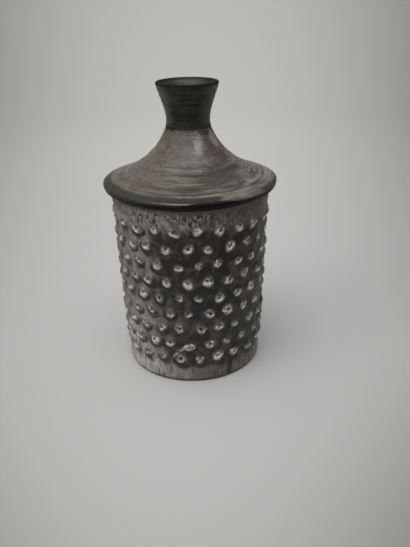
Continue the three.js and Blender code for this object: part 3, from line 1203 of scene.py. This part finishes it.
    def _drag(self, angle: Array, height: Array, bare: Array) -> tuple[Array, Array, Array]:
        """The one boss that was dragged down to the left: a tilted oval ring with a tail that bends down.

        Args:
            angle: angle round the pot of each point.
            height: height of each point.
            bare: radius of the bare wall at each point.

        Returns:
            The ridge's share of its height, how far its glaze is rubbed off, and 0 where it took the
            place of the boss that was there.
        """
        across, up = apart(angle, self.drag_angle) * bare, height - self.drag_height
        kept = 1 - np.exp(-((across - 0.6 * MM) ** 2 + (up - 2.6 * MM) ** 2) ** 3 / (6.6 * MM) ** 6)
        tilted, rise = 0.97 * across + 0.22 * up, 0.97 * up - 0.22 * across
        oval = np.hypot(tilted / (4.1 * MM), rise / (2.5 * MM))
        inside, ring = np.exp(-(oval**4)), bell(oval - 0.85, 0.30)
        along = np.clip(-across / self.drag_length, 0, 1)
        bend = up + self.drag_length * (0.08 * along + 0.66 * along**2)
        reach = ease(1.12, 0.85, -across / self.drag_length) * ease(1 * MM, 4 * MM, -across)
        tail = bell(bend, (1.6 + 0.3 * along) * MM) * reach
        ridge = np.maximum(0.65 * inside + 0.4 * ring, 0.8 * tail)
        smear = np.maximum(0.40 * inside + 0.5 * ring, (0.62 - 0.2 * along) * tail)
        return ridge, smear, kept

    def pooling_and_shade(self, angle: Array, height: Array, bare: Array) -> Array:
        """How much dark glaze lies between the bosses, most to the right of the front, little at left,
        with painted shade under the lid's rim and a painted contact shadow along the foot; less of it at
        the far right is a painted sheen.

        Args:
            angle: angle round the pot of each point.
            height: height of each point.
            bare: radius of the bare wall at each point.

        Returns:
            The share of dark glaze and painted shade, which may go below 0 or above 1.
        """
        turn = angle / (2 * math.pi)
        broad = 0.30 * ripple(turn, height / (26 * MM), 8, 21)
        broad = broad + 0.24 * ripple(turn, height / (11 * MM), 24, 22)
        front = 1 - ease(math.radians(25), math.radians(105), np.abs(apart(angle, 45)))
        # Less at the far right: a painted sheen where the wall turns away.
        front = front - 0.35 * facing(angle, 85, 0.85)
        front = front - 0.45 * ease(45 * MM, 20 * MM, height) * facing(angle, -45, 0.80)
        back = 1 - ease(math.radians(25), math.radians(75), np.abs(apart(angle, 190)))
        band = ease(6 * MM, 26 * MM, height) * ease(128 * MM, 102 * MM, height)
        middle = ease(50 * MM, 62 * MM, height) * ease(122 * MM, 112 * MM, height) * facing(angle, 8, 0.70)
        pooled_and_shade = band * (0.38 + 0.84 * front + 0.45 * back + broad + 0.30 * middle) - 0.08
        # Painted shade in the band under the lid's rim, deepest at the far left and lightest at the right.
        shade = 0.36 - 0.24 * facing(angle, 80, 0.55) - 0.46 * facing(angle, -24, 0.94)
        shade = shade + 0.14 * facing(angle, 3, 0.955) + 0.22 * facing(angle, -78, 0.85)
        pooled_and_shade = pooled_and_shade + ease(119 * MM, 126 * MM, height) * shade
        low = ease(21 * MM, 15 * MM, height)
        joint = bell(apart(angle, self.seam_angle) * bare - 2.8 * MM, 1.1 * MM)
        pooled_and_shade = pooled_and_shade + low * (0.6 * joint + 0.14 * facing(angle, 38, 0.85))
        pooled_and_shade = pooled_and_shade + low * self._cracks(angle, height, bare)
        # A painted contact shadow along the foot's bottom edge.
        return pooled_and_shade + 0.45 * ease(3.2 * MM, 1.2 * MM, height)

    def paleness_and_sheen(self, angle: Array, height: Array, bare: Array) -> Array:
        """How bare and pale the clay is: most at the left, a little all round the foot, and on the seam,
        with a painted sheen at the far right and painted light under the rim at the right.

        Args:
            angle: angle round the pot of each point.
            height: height of each point.
            bare: radius of the bare wall at each point.

        Returns:
            The share of pale clay and painted sheen, which may go below 0 or above 1.
        """
        turn = angle / (2 * math.pi)
        left = facing(angle, -70, 0.20)
        broad = 0.25 * ripple(turn, height / (22 * MM), 9, 23)
        broad = broad + 0.15 * ripple(turn, height / (9 * MM), 30, 24)
        foot, mouth = ease(20 * MM, 10 * MM, height), ease(95 * MM, 122 * MM, height)
        # At the mouth, paler at the right: painted light under the rim.
        ends = foot * (0.25 + 0.40 * left) + mouth * (0.4 * left - 0.15 + 0.25 * facing(angle, 80, 0.55))
        # The left side is pale clay; the paler far right is a painted sheen where the wall turns away.
        sides = facing(angle, -72, 0.66) * ease(64 * MM, 18 * MM, height) + 0.42 * facing(angle, 85, 0.85)
        seam = bell(apart(angle, self.seam_angle) * bare + 0.8 * MM, 0.8 * MM)
        return 0.17 + 0.75 * left + broad + ends + sides + 1.1 * ease(21 * MM, 15 * MM, height) * seam

    def make_wall(self) -> bpy.types.Object:
        """Builds the wall's mesh, the texture and what is painted on it.

        Returns:
            The wall.
        """
        section, share = self.outline()
        raised, paint = self.relief(section, share)
        made = skin("wall", revolve(section[:-1], self.columns, raised[:-1]), Ends.LOOP,
                    {key: values[:-1] for key, values in paint.items()})
        made.data.materials.append(RubbedGlaze().material())
        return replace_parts(made, "pot_wall")

    def make_floor(self) -> bpy.types.Object:
        """Builds the floor: a disc with a softened edge, a little dished inside, bare underneath.

        Returns:
            The floor.
        """
        top, soft, worn = self.floor_height, self.floor_softness, self.floor_wear
        low = float(self.radius(0.0)) - self.wall - self.luting
        high = float(self.radius(top)) - self.wall - self.luting
        section = chain(
            evenly(np.array([[AXIS_GAP, 0], [low - soft, 0]]), 2 * MM),
            quarter((low - soft, 0), (low, 0), (low, soft), 4),
            evenly(np.array([[low, soft], [high, top - worn]]), 1.5 * MM),
            quarter((high, top - worn), (high, top), (high - worn, top), 4),
            evenly(np.array([[high - worn, top], [AXIS_GAP, top]]), 1 * MM),
        )
        radius, height = section[:, 0], section[:, 1]
        inside = height > top - 0.01 * MM
        dished = self.floor_dishing * (1 - ease(0, high, radius))
        marks = 0.18 * MM * (1 + np.sin(radius / (0.9 * MM)))
        bare = ease(top * 0.6, top * 0.35, height)
        grid = revolve(section, self.floor_columns, lifted=-(inside * (dished + marks))[:, None])
        made = skin("floor", grid, Ends.POLES, {"bare": bare[:, None]})
        made.data.materials.append(InnerGlaze().material())
        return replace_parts(made, "pot_floor")

    def build(self) -> list[bpy.types.Object]:
        """Builds both pieces and sets them on the pot's body.

        Returns:
            The pieces.
        """
        wall, floor = self.make_wall(), self.make_floor()
        return [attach(piece, "pot") for piece in (wall, floor)]


# The lid


@dataclass(frozen=True)
class Patch:
    """A soft patch that darkens the dome's glaze, and lightens it where the amount is below 0: thick and
    thin glaze, and in a few patches painted shade and a painted sheen.
    """

    angle: float
    radius: float
    angle_spread: float
    radius_spread: float
    amount: float

    def share(self, angle: Array, radius: Array) -> Array:
        """The amount, times a bell over the angle, in degrees, and one over the radius."""
        aside = bell(apart(angle, self.angle), math.radians(self.angle_spread))
        return self.amount * aside * bell(radius - self.radius, self.radius_spread)


@dataclass(frozen=True)
class Ridge:
    """A ring that a finger left on the dome: a ridge, or a groove where its height is below 0."""

    radius: float
    width: float
    height: float


@dataclass
class Lid:
    """The thrown dome, the locating ring under it and the knob on top."""

    rim_height: float = 6.7 * MM
    rim_equator: float = 3.9 * MM
    rim_undercut: float = 3.2 * MM
    rim_roll: float = 3.0 * MM
    dome_thickness: float = 6.0 * MM
    dome_crown: float = 8.0 * MM
    rim_slope: float = 15.5
    rim_pull: float = 18.9 * MM
    neck_slope: float = 69.0
    neck_pull: float = 20.2 * MM
    neck_radius: float = 15.3 * MM
    knob_radius: float = 21.0 * MM
    knob_foot_slope: float = 72.0
    knob_foot_pull: float = 7.6 * MM
    knob_lip_slope: float = 74.0
    knob_lip_pull: float = 10.7 * MM
    knob_lip: float = 2.4 * MM
    cup_depth: float = 17.0 * MM
    cup_floor_radius: float = 6.0 * MM
    cup_lip_slope: float = 62.0
    cup_lip_pull: float = 8.0 * MM
    cup_floor_slope: float = 12.0
    cup_floor_pull: float = 5.0 * MM
    ring_thickness: float = 4.5 * MM
    dome_spacing: float = 0.5 * MM
    hollow_spacing: float = 2.5 * MM
    ridges: tuple[Ridge, ...] = (
        Ridge(32.2 * MM, 1.2 * MM, 0.6), Ridge(35.2 * MM, 1.8 * MM, -1.2),
        Ridge(43.0 * MM, 1.0 * MM, 0.7), Ridge(46.6 * MM, 1.1 * MM, -0.9),
        Ridge(49.6 * MM, 1.1 * MM, 0.6), Ridge(51.6 * MM, 0.8 * MM, -0.7),
        Ridge(53.6 * MM, 1.0 * MM, 0.7), Ridge(56.2 * MM, 0.8 * MM, 0.6),
    )
    # Most are thick and thin glaze. The one at -18° is painted shade; those at 22° and 16° near the neck
    # are a painted sheen below the glint.
    patches: tuple[Patch, ...] = (
        Patch(28, 40 * MM, 27, 8.0 * MM, 0.62), Patch(20, 35.2 * MM, 38, 2.2 * MM, 0.40),
        Patch(46, 41.5 * MM, 14, 4.5 * MM, 0.40),
        Patch(53, 26 * MM, 13, 5.0 * MM, 0.60), Patch(35, 29.5 * MM, 14, 3.0 * MM, 0.25),
        Patch(-18, 20 * MM, 18, 9.0 * MM, 0.36), Patch(-20, 53.8 * MM, 22, 1.8 * MM, 0.45),
        Patch(10, 47.6 * MM, 26, 2.6 * MM, 0.35), Patch(-75, 25 * MM, 26, 10.0 * MM, -0.42),
        Patch(22, 19 * MM, 8, 3.0 * MM, -0.9), Patch(16, 22 * MM, 7, 2.4 * MM, -0.6),
        Patch(62, 18.8 * MM, 11, 3.4 * MM, -1.5), Patch(33, 24 * MM, 8, 2.6 * MM, 0.3),
        Patch(-22, 32.5 * MM, 30, 1.8 * MM, -0.30), Patch(13, 53.6 * MM, 12, 1.4 * MM, -0.7),
        Patch(55, 48 * MM, 5, 2.2 * MM, -0.9), Patch(78, 34 * MM, 12, 7.0 * MM, -0.35),
    )
    columns: int = 320
    ring_columns: int = 160
    knob_columns: int = 200

    def __post_init__(self) -> None:
        """Takes the heights and radii from the frame."""
        (dome_low, dome_high), (ring_low, ring_high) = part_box("lid_dome"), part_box("lid_locating_ring")
        knob_low, knob_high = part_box("lid_knob")
        self.base, self.neck, self.radius = dome_low.z, dome_high.z, dome_high.x
        self.ring_low, self.ring_high, self.ring_radius = ring_low.z, ring_high.z, ring_high.x
        self.knob_base, self.knob_top = knob_low.z, knob_high.z

    def make_dome(self) -> bpy.types.Object:
        """Builds the dome: the rolled rim, the trumpet with its throwing rings and the hollow underside.

        Returns:
            The dome, whose rings and dark edges are painted on it for its glaze.
        """
        section = self._dome_section()
        turn, length = turns(self.columns), lengths(section)[:, None]
        angle = 2 * math.pi * turn
        radius, height = section[:, :1], section[:, 1:]
        equator = self.base + self.rim_equator
        above = height - equator
        upper = ease(0, 1.5 * MM, above) * (length > length[np.argmax(radius)])
        top = upper * ease(self.neck, self.neck - 3 * MM, height)
        raised, ring = self._throwing(turn, length, radius, top)
        # A painted highlight along the front of the rim just above its widest line: it takes the dark edge
        # away and lays the pale thin-glaze colour there.
        line = bell(above - 1.5 * MM, 0.45 * MM) * bell(apart(angle, -5), 0.24)
        edge, dark, collar = self._edge(turn, radius, height, equator)
        paint = {
            "ring": ring,
            "edge": edge * (1 - 0.9 * line),
            "dark": dark,
            "collar": collar,
            "cool": facing(angle, 4, 0.72) * ease(38 * MM, 24 * MM, radius) * upper,
            "run": self._runs(turn, radius, height) * upper,
            "thick": upper * (sum(patch.share(angle, radius) for patch in self.patches) - 0.9 * line),
            "rusty": facing(angle, 50, 0.80) * ease(36 * MM, 22 * MM, radius) * upper,
            "banded": facing(angle, 42, 0.20) * ease(26 * MM, 34 * MM, radius) * upper,
            **swept(angle, length, 9 * MM),
        }
        rolled, wobble = self._rim(turn, radius, above)
        grid = revolve(section, self.columns, raised + rolled, wobble * (height > self.base + 0.3 * MM))
        made = skin("dome", grid, Ends.POLES, paint)
        made.data.materials.append(StreakedGlaze().material())
        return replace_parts(made, "lid_dome")

    def _dome_section(self) -> Array:
        """The dome's section: from the axis along the hollow, over the rolled rim and up the trumpet.

        Returns:
            Its points, as radius and height.
        """
        inner = self.ring_radius - self.ring_thickness
        rim_top = (self.radius - self.rim_roll, self.base + self.rim_height)
        equator = (self.radius, self.base + self.rim_equator)
        under = (self.radius - self.rim_undercut, self.base)
        trumpet = pulled(rim_top, 180 - self.rim_slope, self.rim_pull,
                         (self.neck_radius, self.neck), 180 - self.neck_slope, self.neck_pull)
        outside = chain(
            np.array([(inner, self.base), under]),
            quarter(under, (self.radius, self.base), equator),
            quarter(equator, (self.radius, rim_top[1]), rim_top),
            trumpet,
            np.array([(self.neck_radius, self.neck), (AXIS_GAP, self.neck)]),
        )
        return chain(evenly(self._hollow(trumpet, inner), self.hollow_spacing),
                     evenly(outside, self.dome_spacing))

    def _rim(self, turn: Array, radius: Array, above: Array) -> tuple[Array, Array]:
        """The rolled rim's unevenness: a shallow bead round it, drawn in a little, and a slight wobble.

        Args:
            turn: place round the axis, in turns.
            radius: radius of each row.
            above: height of each row above the rim's widest line.

        Returns:
            How far each point stands out, and how far it stands up.
        """
        rim = ease(self.radius - 9 * MM, self.radius - 2 * MM, radius)
        bead = bell(above - 1.0 * MM, 0.7 * MM) - bell(above - 2.3 * MM, 0.6 * MM)
        shallow = 0.5 + 0.5 * ripple(turn, 0.5, 6, 40)
        swell = (0.5 - 0.5 * np.cos(2 * math.pi * turn - 1.9)) * ease(-1, 1, ripple(turn, 0.5, 9, 36))
        inset = 0.30 * MM + 0.30 * MM * swell
        wobble = 0.25 * MM * ripple(turn, 0.5, 7, 34) + 0.12 * MM * ripple(turn, 0.5, 29, 35) - 0.1 * MM
        return rim * (0.28 * MM * shallow * bead - inset), rim * wobble

    def _throwing(self, turn: Array, length: Array, radius: Array, top: Array) -> tuple[Array, Array]:
        """The rings that fingers leave on a turning lid: faint ones all over, and a few that run plain.

        Args:
            turn: place round the axis, in turns.
            length: length along the outline.
            radius: radius of each row.
            top: 1 on the top of the dome, 0 elsewhere.

        Returns:
            The rings' relief, and how pale the glaze runs on them.
        """
        angle = 2 * math.pi * turn
        wandering = length + 1.3 * MM * ripple(turn, length / (11 * MM), 7, 30)
        broad = ripple(turn, wandering / (3.6 * MM), 4, 31)
        middle = ripple(turn, wandering / (1.7 * MM), 5, 32)
        narrow = ripple(turn, wandering / (0.95 * MM), 7, 33)
        calm = (0.3 + 0.7 * ease(-0.9, 0.9, np.cos(apart(angle, 52)))) * ease(12 * MM, 34 * MM, radius)
        strayed = radius + 0.7 * MM * ripple(turn, 0.5, 8, 46) + 0.3 * MM * ripple(turn, 0.5, 31, 47)
        plain = sum(ridge.height * bell(strayed - ridge.radius, ridge.width) for ridge in self.ridges)
        plain = plain * ease(-0.35, 0.75, np.cos(apart(angle, 48)))
        plain = plain * (1 + 0.6 * ripple(turn, radius / (4 * MM), 12, 48))
        fine = 0.16 * MM * broad + 0.08 * MM * middle + 0.03 * MM * narrow
        relief = top * (fine * (0.4 + 0.6 * ease(18 * MM, 32 * MM, radius)) + 0.27 * MM * plain)
        return relief, top * (calm * (0.45 * broad + 0.50 * middle + 0.35 * narrow) + 1.1 * plain)

    def _edge(self, turn: Array, radius: Array, height: Array,
              equator: float) -> tuple[Array, Array, Array]:
        """Where the dome's glaze darkens: over the rim, widest front left, and below the knob; under the
        rim it goes near-black, dark glaze and painted shade on the underside.

        Args:
            turn: place round the axis, in turns.
            radius: radius of each row.
            height: height of each row.
            equator: height of the rim's widest line.

        Returns:
            The shares of brown glaze on the rim, of near-black under it, which is dark glaze and painted
            shade, and of the knob's glaze.
        """
        angle = 2 * math.pi * turn
        ragged = 0.7 * MM * ripple(turn, 0.5, 13, 38) + 0.45 * MM * ripple(turn, 0.5, 41, 39)
        inner = self.radius - 3.4 * MM - 2.8 * MM * np.cos(apart(angle, -35)) + ragged
        rim = ease(-2.2 * MM, 1.6 * MM, radius - inner) * (1.0 + 0.3 * ripple(turn, 0.5, 15, 41))
        aside = math.radians(3) * ripple(turn, radius / (1.5 * MM), 30, 37)
        tan = ease(math.radians(20), math.radians(11), np.abs(apart(angle, 36)) + aside)
        faint = ease(math.radians(15), math.radians(7), np.abs(apart(angle, -5)) + aside)
        rim = rim * (1 - 0.88 * np.maximum(tan, 0.25 * faint))
        outer = ease(self.radius - 12 * MM, self.radius - 10 * MM, radius)
        rim = np.where(height > equator, rim, 1.0) * outer
        drip = 0.5 * MM + 1.5 * MM * ripple(turn, 0.5, 11, 38) + 1.0 * MM * ripple(turn, 0.5, 37, 39)
        drip = drip + 2.6 * MM * facing(angle, 42, 0.94) + 1.0 * MM * ripple(turn, 0.5, 53, 50)
        collar = ease(-2.4 * MM, 0.8 * MM, height - self.neck + drip)
        # Where the near-black under the rim starts, dark glaze and painted shade, reaching higher at the
        # front right.
        start = 0.7 * MM * facing(angle, 0, 0.65) + 2.3 * MM * facing(angle, 14, 0.93)
        start = start + 0.6 * MM * facing(angle, 58, 0.92) + 0.15 * MM * ripple(turn, 0.5, 23, 49)
        start = equator + start
        under = ease(start + 0.1 * MM, start - 1.7 * MM, height)
        return rim, under * ease(0.5 * self.radius, 0.6 * self.radius, radius), collar

    def _runs(self, turn: Array, radius: Array, height: Array) -> Array:
        """A brown run of the knob's glaze down the neck at the right, which turns aside further down.

        Args:
            turn: place round the axis, in turns.
            radius: radius of each row.
            height: height of each row.

        Returns:
            The run's share.
        """
        aside = apart(2 * math.pi * turn, 40) - math.radians(14) * ease(16 * MM, 30 * MM, radius)
        window = bell(aside, math.radians(9)) * ease(33 * MM, 22 * MM, radius)
        return window * (0.80 + 0.7 * ripple(turn, height / (4 * MM), 44, 45))

    def _hollow(self, trumpet: Array, inner: float) -> Array:
        """The underside from the axis out to the flat of the rim: the trumpet moved in by the thickness.

        Args:
            trumpet: the dome's outside, from the rim up to the neck.
            inner: radius at which the flat of the rim starts.

        Returns:
            The underside's points, as radius and height.
        """
        way = tangents(trumpet)
        moved = trumpet + self.dome_thickness * np.stack([-way[:, 1], way[:, 0]], axis=1)
        crown = self.neck - self.dome_crown
        kept = moved[(moved[:, 1] < crown) & (moved[:, 0] < inner)][::-1]
        return chain(np.array([[AXIS_GAP, crown], [kept[0, 0], crown]]), kept,
                     np.array([[inner, kept[-1, 1]], [inner, self.base]]))

    def make_ring(self) -> bpy.types.Object:
        """Builds the locating ring: a band with softened edges and fine turning marks.

        Returns:
            The ring.
        """
        inner, outer = self.ring_radius - self.ring_thickness, self.ring_radius
        low, high, soft = self.ring_low, self.ring_high, 1.0 * MM
        section = chain(
            quarter((inner, low + soft), (inner, low), (inner + soft, low), 6),
            evenly(np.array([[inner + soft, low], [outer - soft, low]]), 0.6 * MM),
            quarter((outer - soft, low), (outer, low), (outer, low + soft), 6),
            evenly(np.array([[outer, low + soft], [outer, high]]), 0.5 * MM),
            evenly(np.array([[outer, high], [inner, high]]), 1.2 * MM),
            evenly(np.array([[inner, high], [inner, low + soft]]), 0.8 * MM),
        )[:-1]
        height, angle = section[:, 1:], 2 * math.pi * turns(self.ring_columns)
        upright = ease(low + soft, low + 2 * soft, height) * ease(high, high - soft, height)
        marks = -0.05 * MM * upright * (1 + np.sin(height / (0.22 * MM) + angle))
        made = skin("locating_ring", revolve(section, self.ring_columns, marks), Ends.LOOP)
        made.data.materials.append(BareClay().material())
        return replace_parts(made, "lid_locating_ring")

    def make_knob(self) -> bpy.types.Object:
        """Builds the knob, with throwing rings, a darker lip and foot, a greener cup, a painted sheen on
        its sides and a painted highlight in the cup.

        Returns:
            The knob.
        """
        section = self._knob_section()
        turn, height = turns(self.knob_columns), section[:, 1:]
        angle = 2 * math.pi * turn
        length, top = lengths(section)[:, None], self.knob_top
        away = ease(self.knob_base, self.knob_base + 2 * MM, height) * ease(top, top - 2.5 * MM, height)
        wander = 0.3 * ripple(turn, length / (8 * MM), 5, 41)
        rings = np.sin(2 * math.pi * (length / (3.4 * MM) + turn + wander))
        raised = away * (0.07 * MM * rings + 0.06 * MM * ripple(turn, length / (4 * MM), 12, 42))
        crest = length[np.argmax(height)]
        within = length > crest
        bands = ripple(turn, length / (1.5 * MM), 4, 43) + 0.6 * ripple(turn, length / (0.8 * MM), 6, 44)
        lip = ease(top - 2.4 * MM, top - 0.6 * MM, height)
        foot = 0.50 * ease(self.knob_base + 8.0 * MM, self.knob_base + 0.5 * MM, height)
        # A painted sheen: a band round the upper flare, most at the left, and both sides of the knob.
        flare = bell(height - (top - 8.5 * MM), 4.0 * MM) * (0.06 + 0.3 * facing(angle, -60, 0.60))
        thin = np.clip(0.95 * facing(angle, -80, 0.70) + 0.8 * facing(angle, 80, 0.50) + flare, 0, 1)
        # A painted highlight on the cup's far inner wall, below its lip.
        cup_highlight = facing(angle, 174, 0.94) * bell(height - (top - 7.5 * MM), 5.0 * MM)
        paint = {
            "ring": away * bands * ~within,
            "lip": np.maximum(lip, foot) * (length < crest + 1.2 * MM),
            # thin: painted sheen on the sides
            "thin": away * ~within * thin,
            "cup_highlight": within * cup_highlight,
            "cup": ease(top - 0.2 * MM, top - 1.5 * MM, height) * within,
            **swept(angle, length, 5 * MM),
        }
        made = skin("knob", revolve(section, self.knob_columns, raised), Ends.POLES, paint)
        made.data.materials.append(DarkGlaze().material())
        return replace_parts(made, "lid_knob")

    def _knob_section(self) -> Array:
        """The knob's section: from the axis to its foot, up the waist and flare, and down into the cup.

        Returns:
            Its points, as radius and height.
        """
        top, lip = self.knob_top, self.knob_lip / 2
        outer, inner = (self.knob_radius, top - lip), (self.knob_radius - self.knob_lip, top - lip)
        crest = (self.knob_radius - lip, top)
        side = pulled((self.neck_radius, self.knob_base), 180 - self.knob_foot_slope, self.knob_foot_pull,
                      outer, self.knob_lip_slope, self.knob_lip_pull)
        floor = (self.cup_floor_radius, top - self.cup_depth)
        cup = pulled(inner, 180 + self.cup_lip_slope, self.cup_lip_pull,
                     floor, 180 + self.cup_floor_slope, self.cup_floor_pull)
        return chain(
            evenly(np.array([[AXIS_GAP, self.neck], [self.neck_radius, self.neck]]), 2 * MM),
            np.array([[self.neck_radius, self.neck], [self.neck_radius, self.knob_base]]),
            evenly(side, 0.45 * MM),
            evenly(quarter(outer, (outer[0], top), crest), 0.3 * MM),
            evenly(quarter(inner, (inner[0], top), crest)[::-1], 0.3 * MM),
            evenly(cup, 0.6 * MM),
            np.array([floor, (AXIS_GAP, floor[1])]),
        )

    def build(self) -> list[bpy.types.Object]:
        """Builds the three pieces and sets them on the lid's body.

        Returns:
            The pieces.
        """
        dome, ring, knob = self.make_dome(), self.make_ring(), self.make_knob()
        return [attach(piece, "lid") for piece in (dome, ring, knob)]


# The studio


@dataclass(frozen=True)
class Softbox:
    """A rectangular white lamp that points at a place on the pot, and may give nothing but glints."""

    name: str
    place: tuple[float, float, float]
    aim: tuple[float, float, float]
    size: tuple[float, float]
    power: float
    glints_only: bool = False

    def build(self) -> bpy.types.Object:
        """Makes the lamp.

        Returns:
            The lamp, linked to the scene.
        """
        lamp = bpy.data.lights.new(self.name, "AREA")
        lamp.shape = "RECTANGLE"
        lamp.size, lamp.size_y = self.size
        lamp.energy = self.power
        made = bpy.data.objects.new(self.name, lamp)
        made.location = self.place
        made.visible_diffuse = not self.glints_only
        way = Vector(self.aim) - Vector(self.place)
        made.rotation_euler = way.to_track_quat("-Z", "Y").to_euler()
        bpy.context.scene.collection.objects.link(made)
        return made


@dataclass
class Studio:
    """The seamless sweep, the lamps and the camera at the photograph's viewpoint."""

    image: tuple[int, int] = (410, 547)
    focal_pixels: float = 590.0
    sensor: float = 36.0
    pitch: float = math.radians(25.35)
    roll: float = math.radians(1.11)
    viewpoint: tuple[float, float, float] = (9.3 * MM, -401.7 * MM, 252.9 * MM)
    floor_radius: float = 1.0
    sweep_radius: float = 0.9
    sweep_height: float = 1.3
    sweep_rings: int = 60
    sweep_columns: int = 120
    paper: Colour = (0.552, 0.545, 0.534)
    paper_far: Colour = (0.656, 0.651, 0.632)
    # painted shade round the paper's bright middle
    painted_paper_shade: Colour = (0.125, 0.12, 0.11)
    bright_width: float = 0.308
    bright_widening: float = 0.395
    bright_narrowing: float = 0.647
    bright_narrowest: float = 0.12
    bright_depth: float = 0.374
    bright_middle: float = 0.004
    bright_drift: float = 0.010
    darkest_edge: float = 0.66
    sky: Colour = (0.48, 0.48, 0.47)
    sky_light: float = 0.93
    lamps: tuple[Softbox, ...] = (
        Softbox("overhead", (-0.30, -0.38, 1.25), (0, 0, 0.05), (1.2, 1.2), 7.0),
        Softbox("window", (-1.0, -0.75, 0.75), (0, 0, 0.08), (0.8, 0.8), 2.8),
        Softbox("ceiling_lamp", (0.54, -0.59, 1.20), (0, 0, 0.15), (0.22, 0.22), 4.2, glints_only=True),
    )

    def make_sweep(self) -> bpy.types.Object:
        """Makes the paper: flat round the pot, then curving up all round as a quarter circle.

        It is painted paler towards the back, and darker round a bright middle: a painted pool of light,
        whose half width grows behind the pot and shrinks before it: (aside / half width)² + (distance
        before it / depth)².

        Returns:
            The paper.
        """
        outer = self.floor_radius + self.sweep_radius
        rings = np.geomspace(self.floor_radius, 0.01, self.sweep_rings)
        rise, flat = (outer, self.sweep_radius), (self.floor_radius, 0)
        outline = chain(
            np.array([(outer, self.sweep_height), rise]),
            quarter(rise, (outer, 0), flat, self.sweep_rings // 2),
            np.stack([rings, np.zeros_like(rings)], axis=1),
        )
        grid = revolve(outline, self.sweep_columns)
        x, y = grid[..., 0], grid[..., 1]
        behind, before = np.maximum(y, 0), np.minimum(y, 0)
        width = self.bright_width + self.bright_widening * behind + self.bright_narrowing * before
        middle = self.bright_middle - self.bright_drift * ease(0.05, -0.2, y)
        aside = (x - middle) / np.clip(width, self.bright_narrowest, None)
        # A painted pool of light: the paper darkens away from a bright middle.
        edge = np.clip(aside**2 + (before / self.bright_depth) ** 2, 0, self.darkest_edge)
        made = skin("sweep", grid, Ends.BOWL, {"far": ease(0.1, 0.95, y), "edge": edge})
        r = Recipe("paper", roughness=0.9, specular=0.1)
        colour = r.blend(r.painted("far"), self.paper, self.paper_far)
        colour = r.blend(r.painted("edge"), colour, self.painted_paper_shade)
        made.data.materials.append(r.done(colour, r.bump(r.noise(0.002), 0.0001, 0.1)))
        return made

    def make_camera(self) -> bpy.types.Object:
        """Makes the camera: pitched down from level, and rolled, as fitted to the photograph.

        Returns:
            The camera, which the scene then looks through.
        """
        lens = bpy.data.cameras.new("camera")
        lens.sensor_width = self.sensor
        lens.lens = self.focal_pixels / max(self.image) * self.sensor
        made = bpy.data.objects.new("camera", lens)
        turn = Matrix.Rotation(math.pi / 2 - self.pitch, 4, "X") @ Matrix.Rotation(-self.roll, 4, "Z")
        made.matrix_world = Matrix.Translation(self.viewpoint) @ turn
        bpy.context.scene.collection.objects.link(made)
        bpy.context.scene.camera = made
        return made

    def make_sky(self) -> None:
        """Lights everything a little from all sides, and looks like paper to the camera and in gloss."""
        world = bpy.data.worlds.new("sky")
        world.use_nodes = True
        bpy.context.scene.world = world
        tree = world.node_tree
        lit = tree.nodes["Background"]
        lit.inputs["Color"].default_value = (1, 1, 1, 1)
        lit.inputs["Strength"].default_value = self.sky_light
        seen = tree.nodes.new("ShaderNodeBackground")
        seen.inputs["Color"].default_value = (*self.sky, 1)
        path = tree.nodes.new("ShaderNodeLightPath")
        seen_by = path.outputs["Is Camera Ray"]
        for ray in ("Is Glossy Ray", "Is Transmission Ray"):
            either = tree.nodes.new("ShaderNodeMath")
            either.operation = "MAXIMUM"
            tree.links.new(seen_by, either.inputs[0])
            tree.links.new(path.outputs[ray], either.inputs[1])
            seen_by = either.outputs[0]
        mix = tree.nodes.new("ShaderNodeMixShader")
        tree.links.new(seen_by, mix.inputs[0])
        tree.links.new(lit.outputs[0], mix.inputs[1])
        tree.links.new(seen.outputs[0], mix.inputs[2])
        tree.links.new(mix.outputs[0], tree.nodes["World Output"].inputs[0])

    def build(self) -> None:
        """Makes the camera first, then the paper and the light."""
        self.make_camera()
        self.make_sweep()
        self.make_sky()
        for lamp in self.lamps:
            lamp.build()
        bpy.context.scene.view_settings.view_transform = "Standard"


def corners(box: tuple[Vector, Vector]) -> list[list[float]]:
    """A box as plain lists."""
    return [list(corner) for corner in box]


def main() -> None:
    """Builds the studio, the pot and the lid."""
    logging.basicConfig(level=logging.INFO, format="%(name)s: %(message)s")
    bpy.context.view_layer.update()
    Studio().build()
    for assembly in (Pot(), Lid()):
        for piece in assembly.build():
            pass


if __name__ == "__main__":
    main()
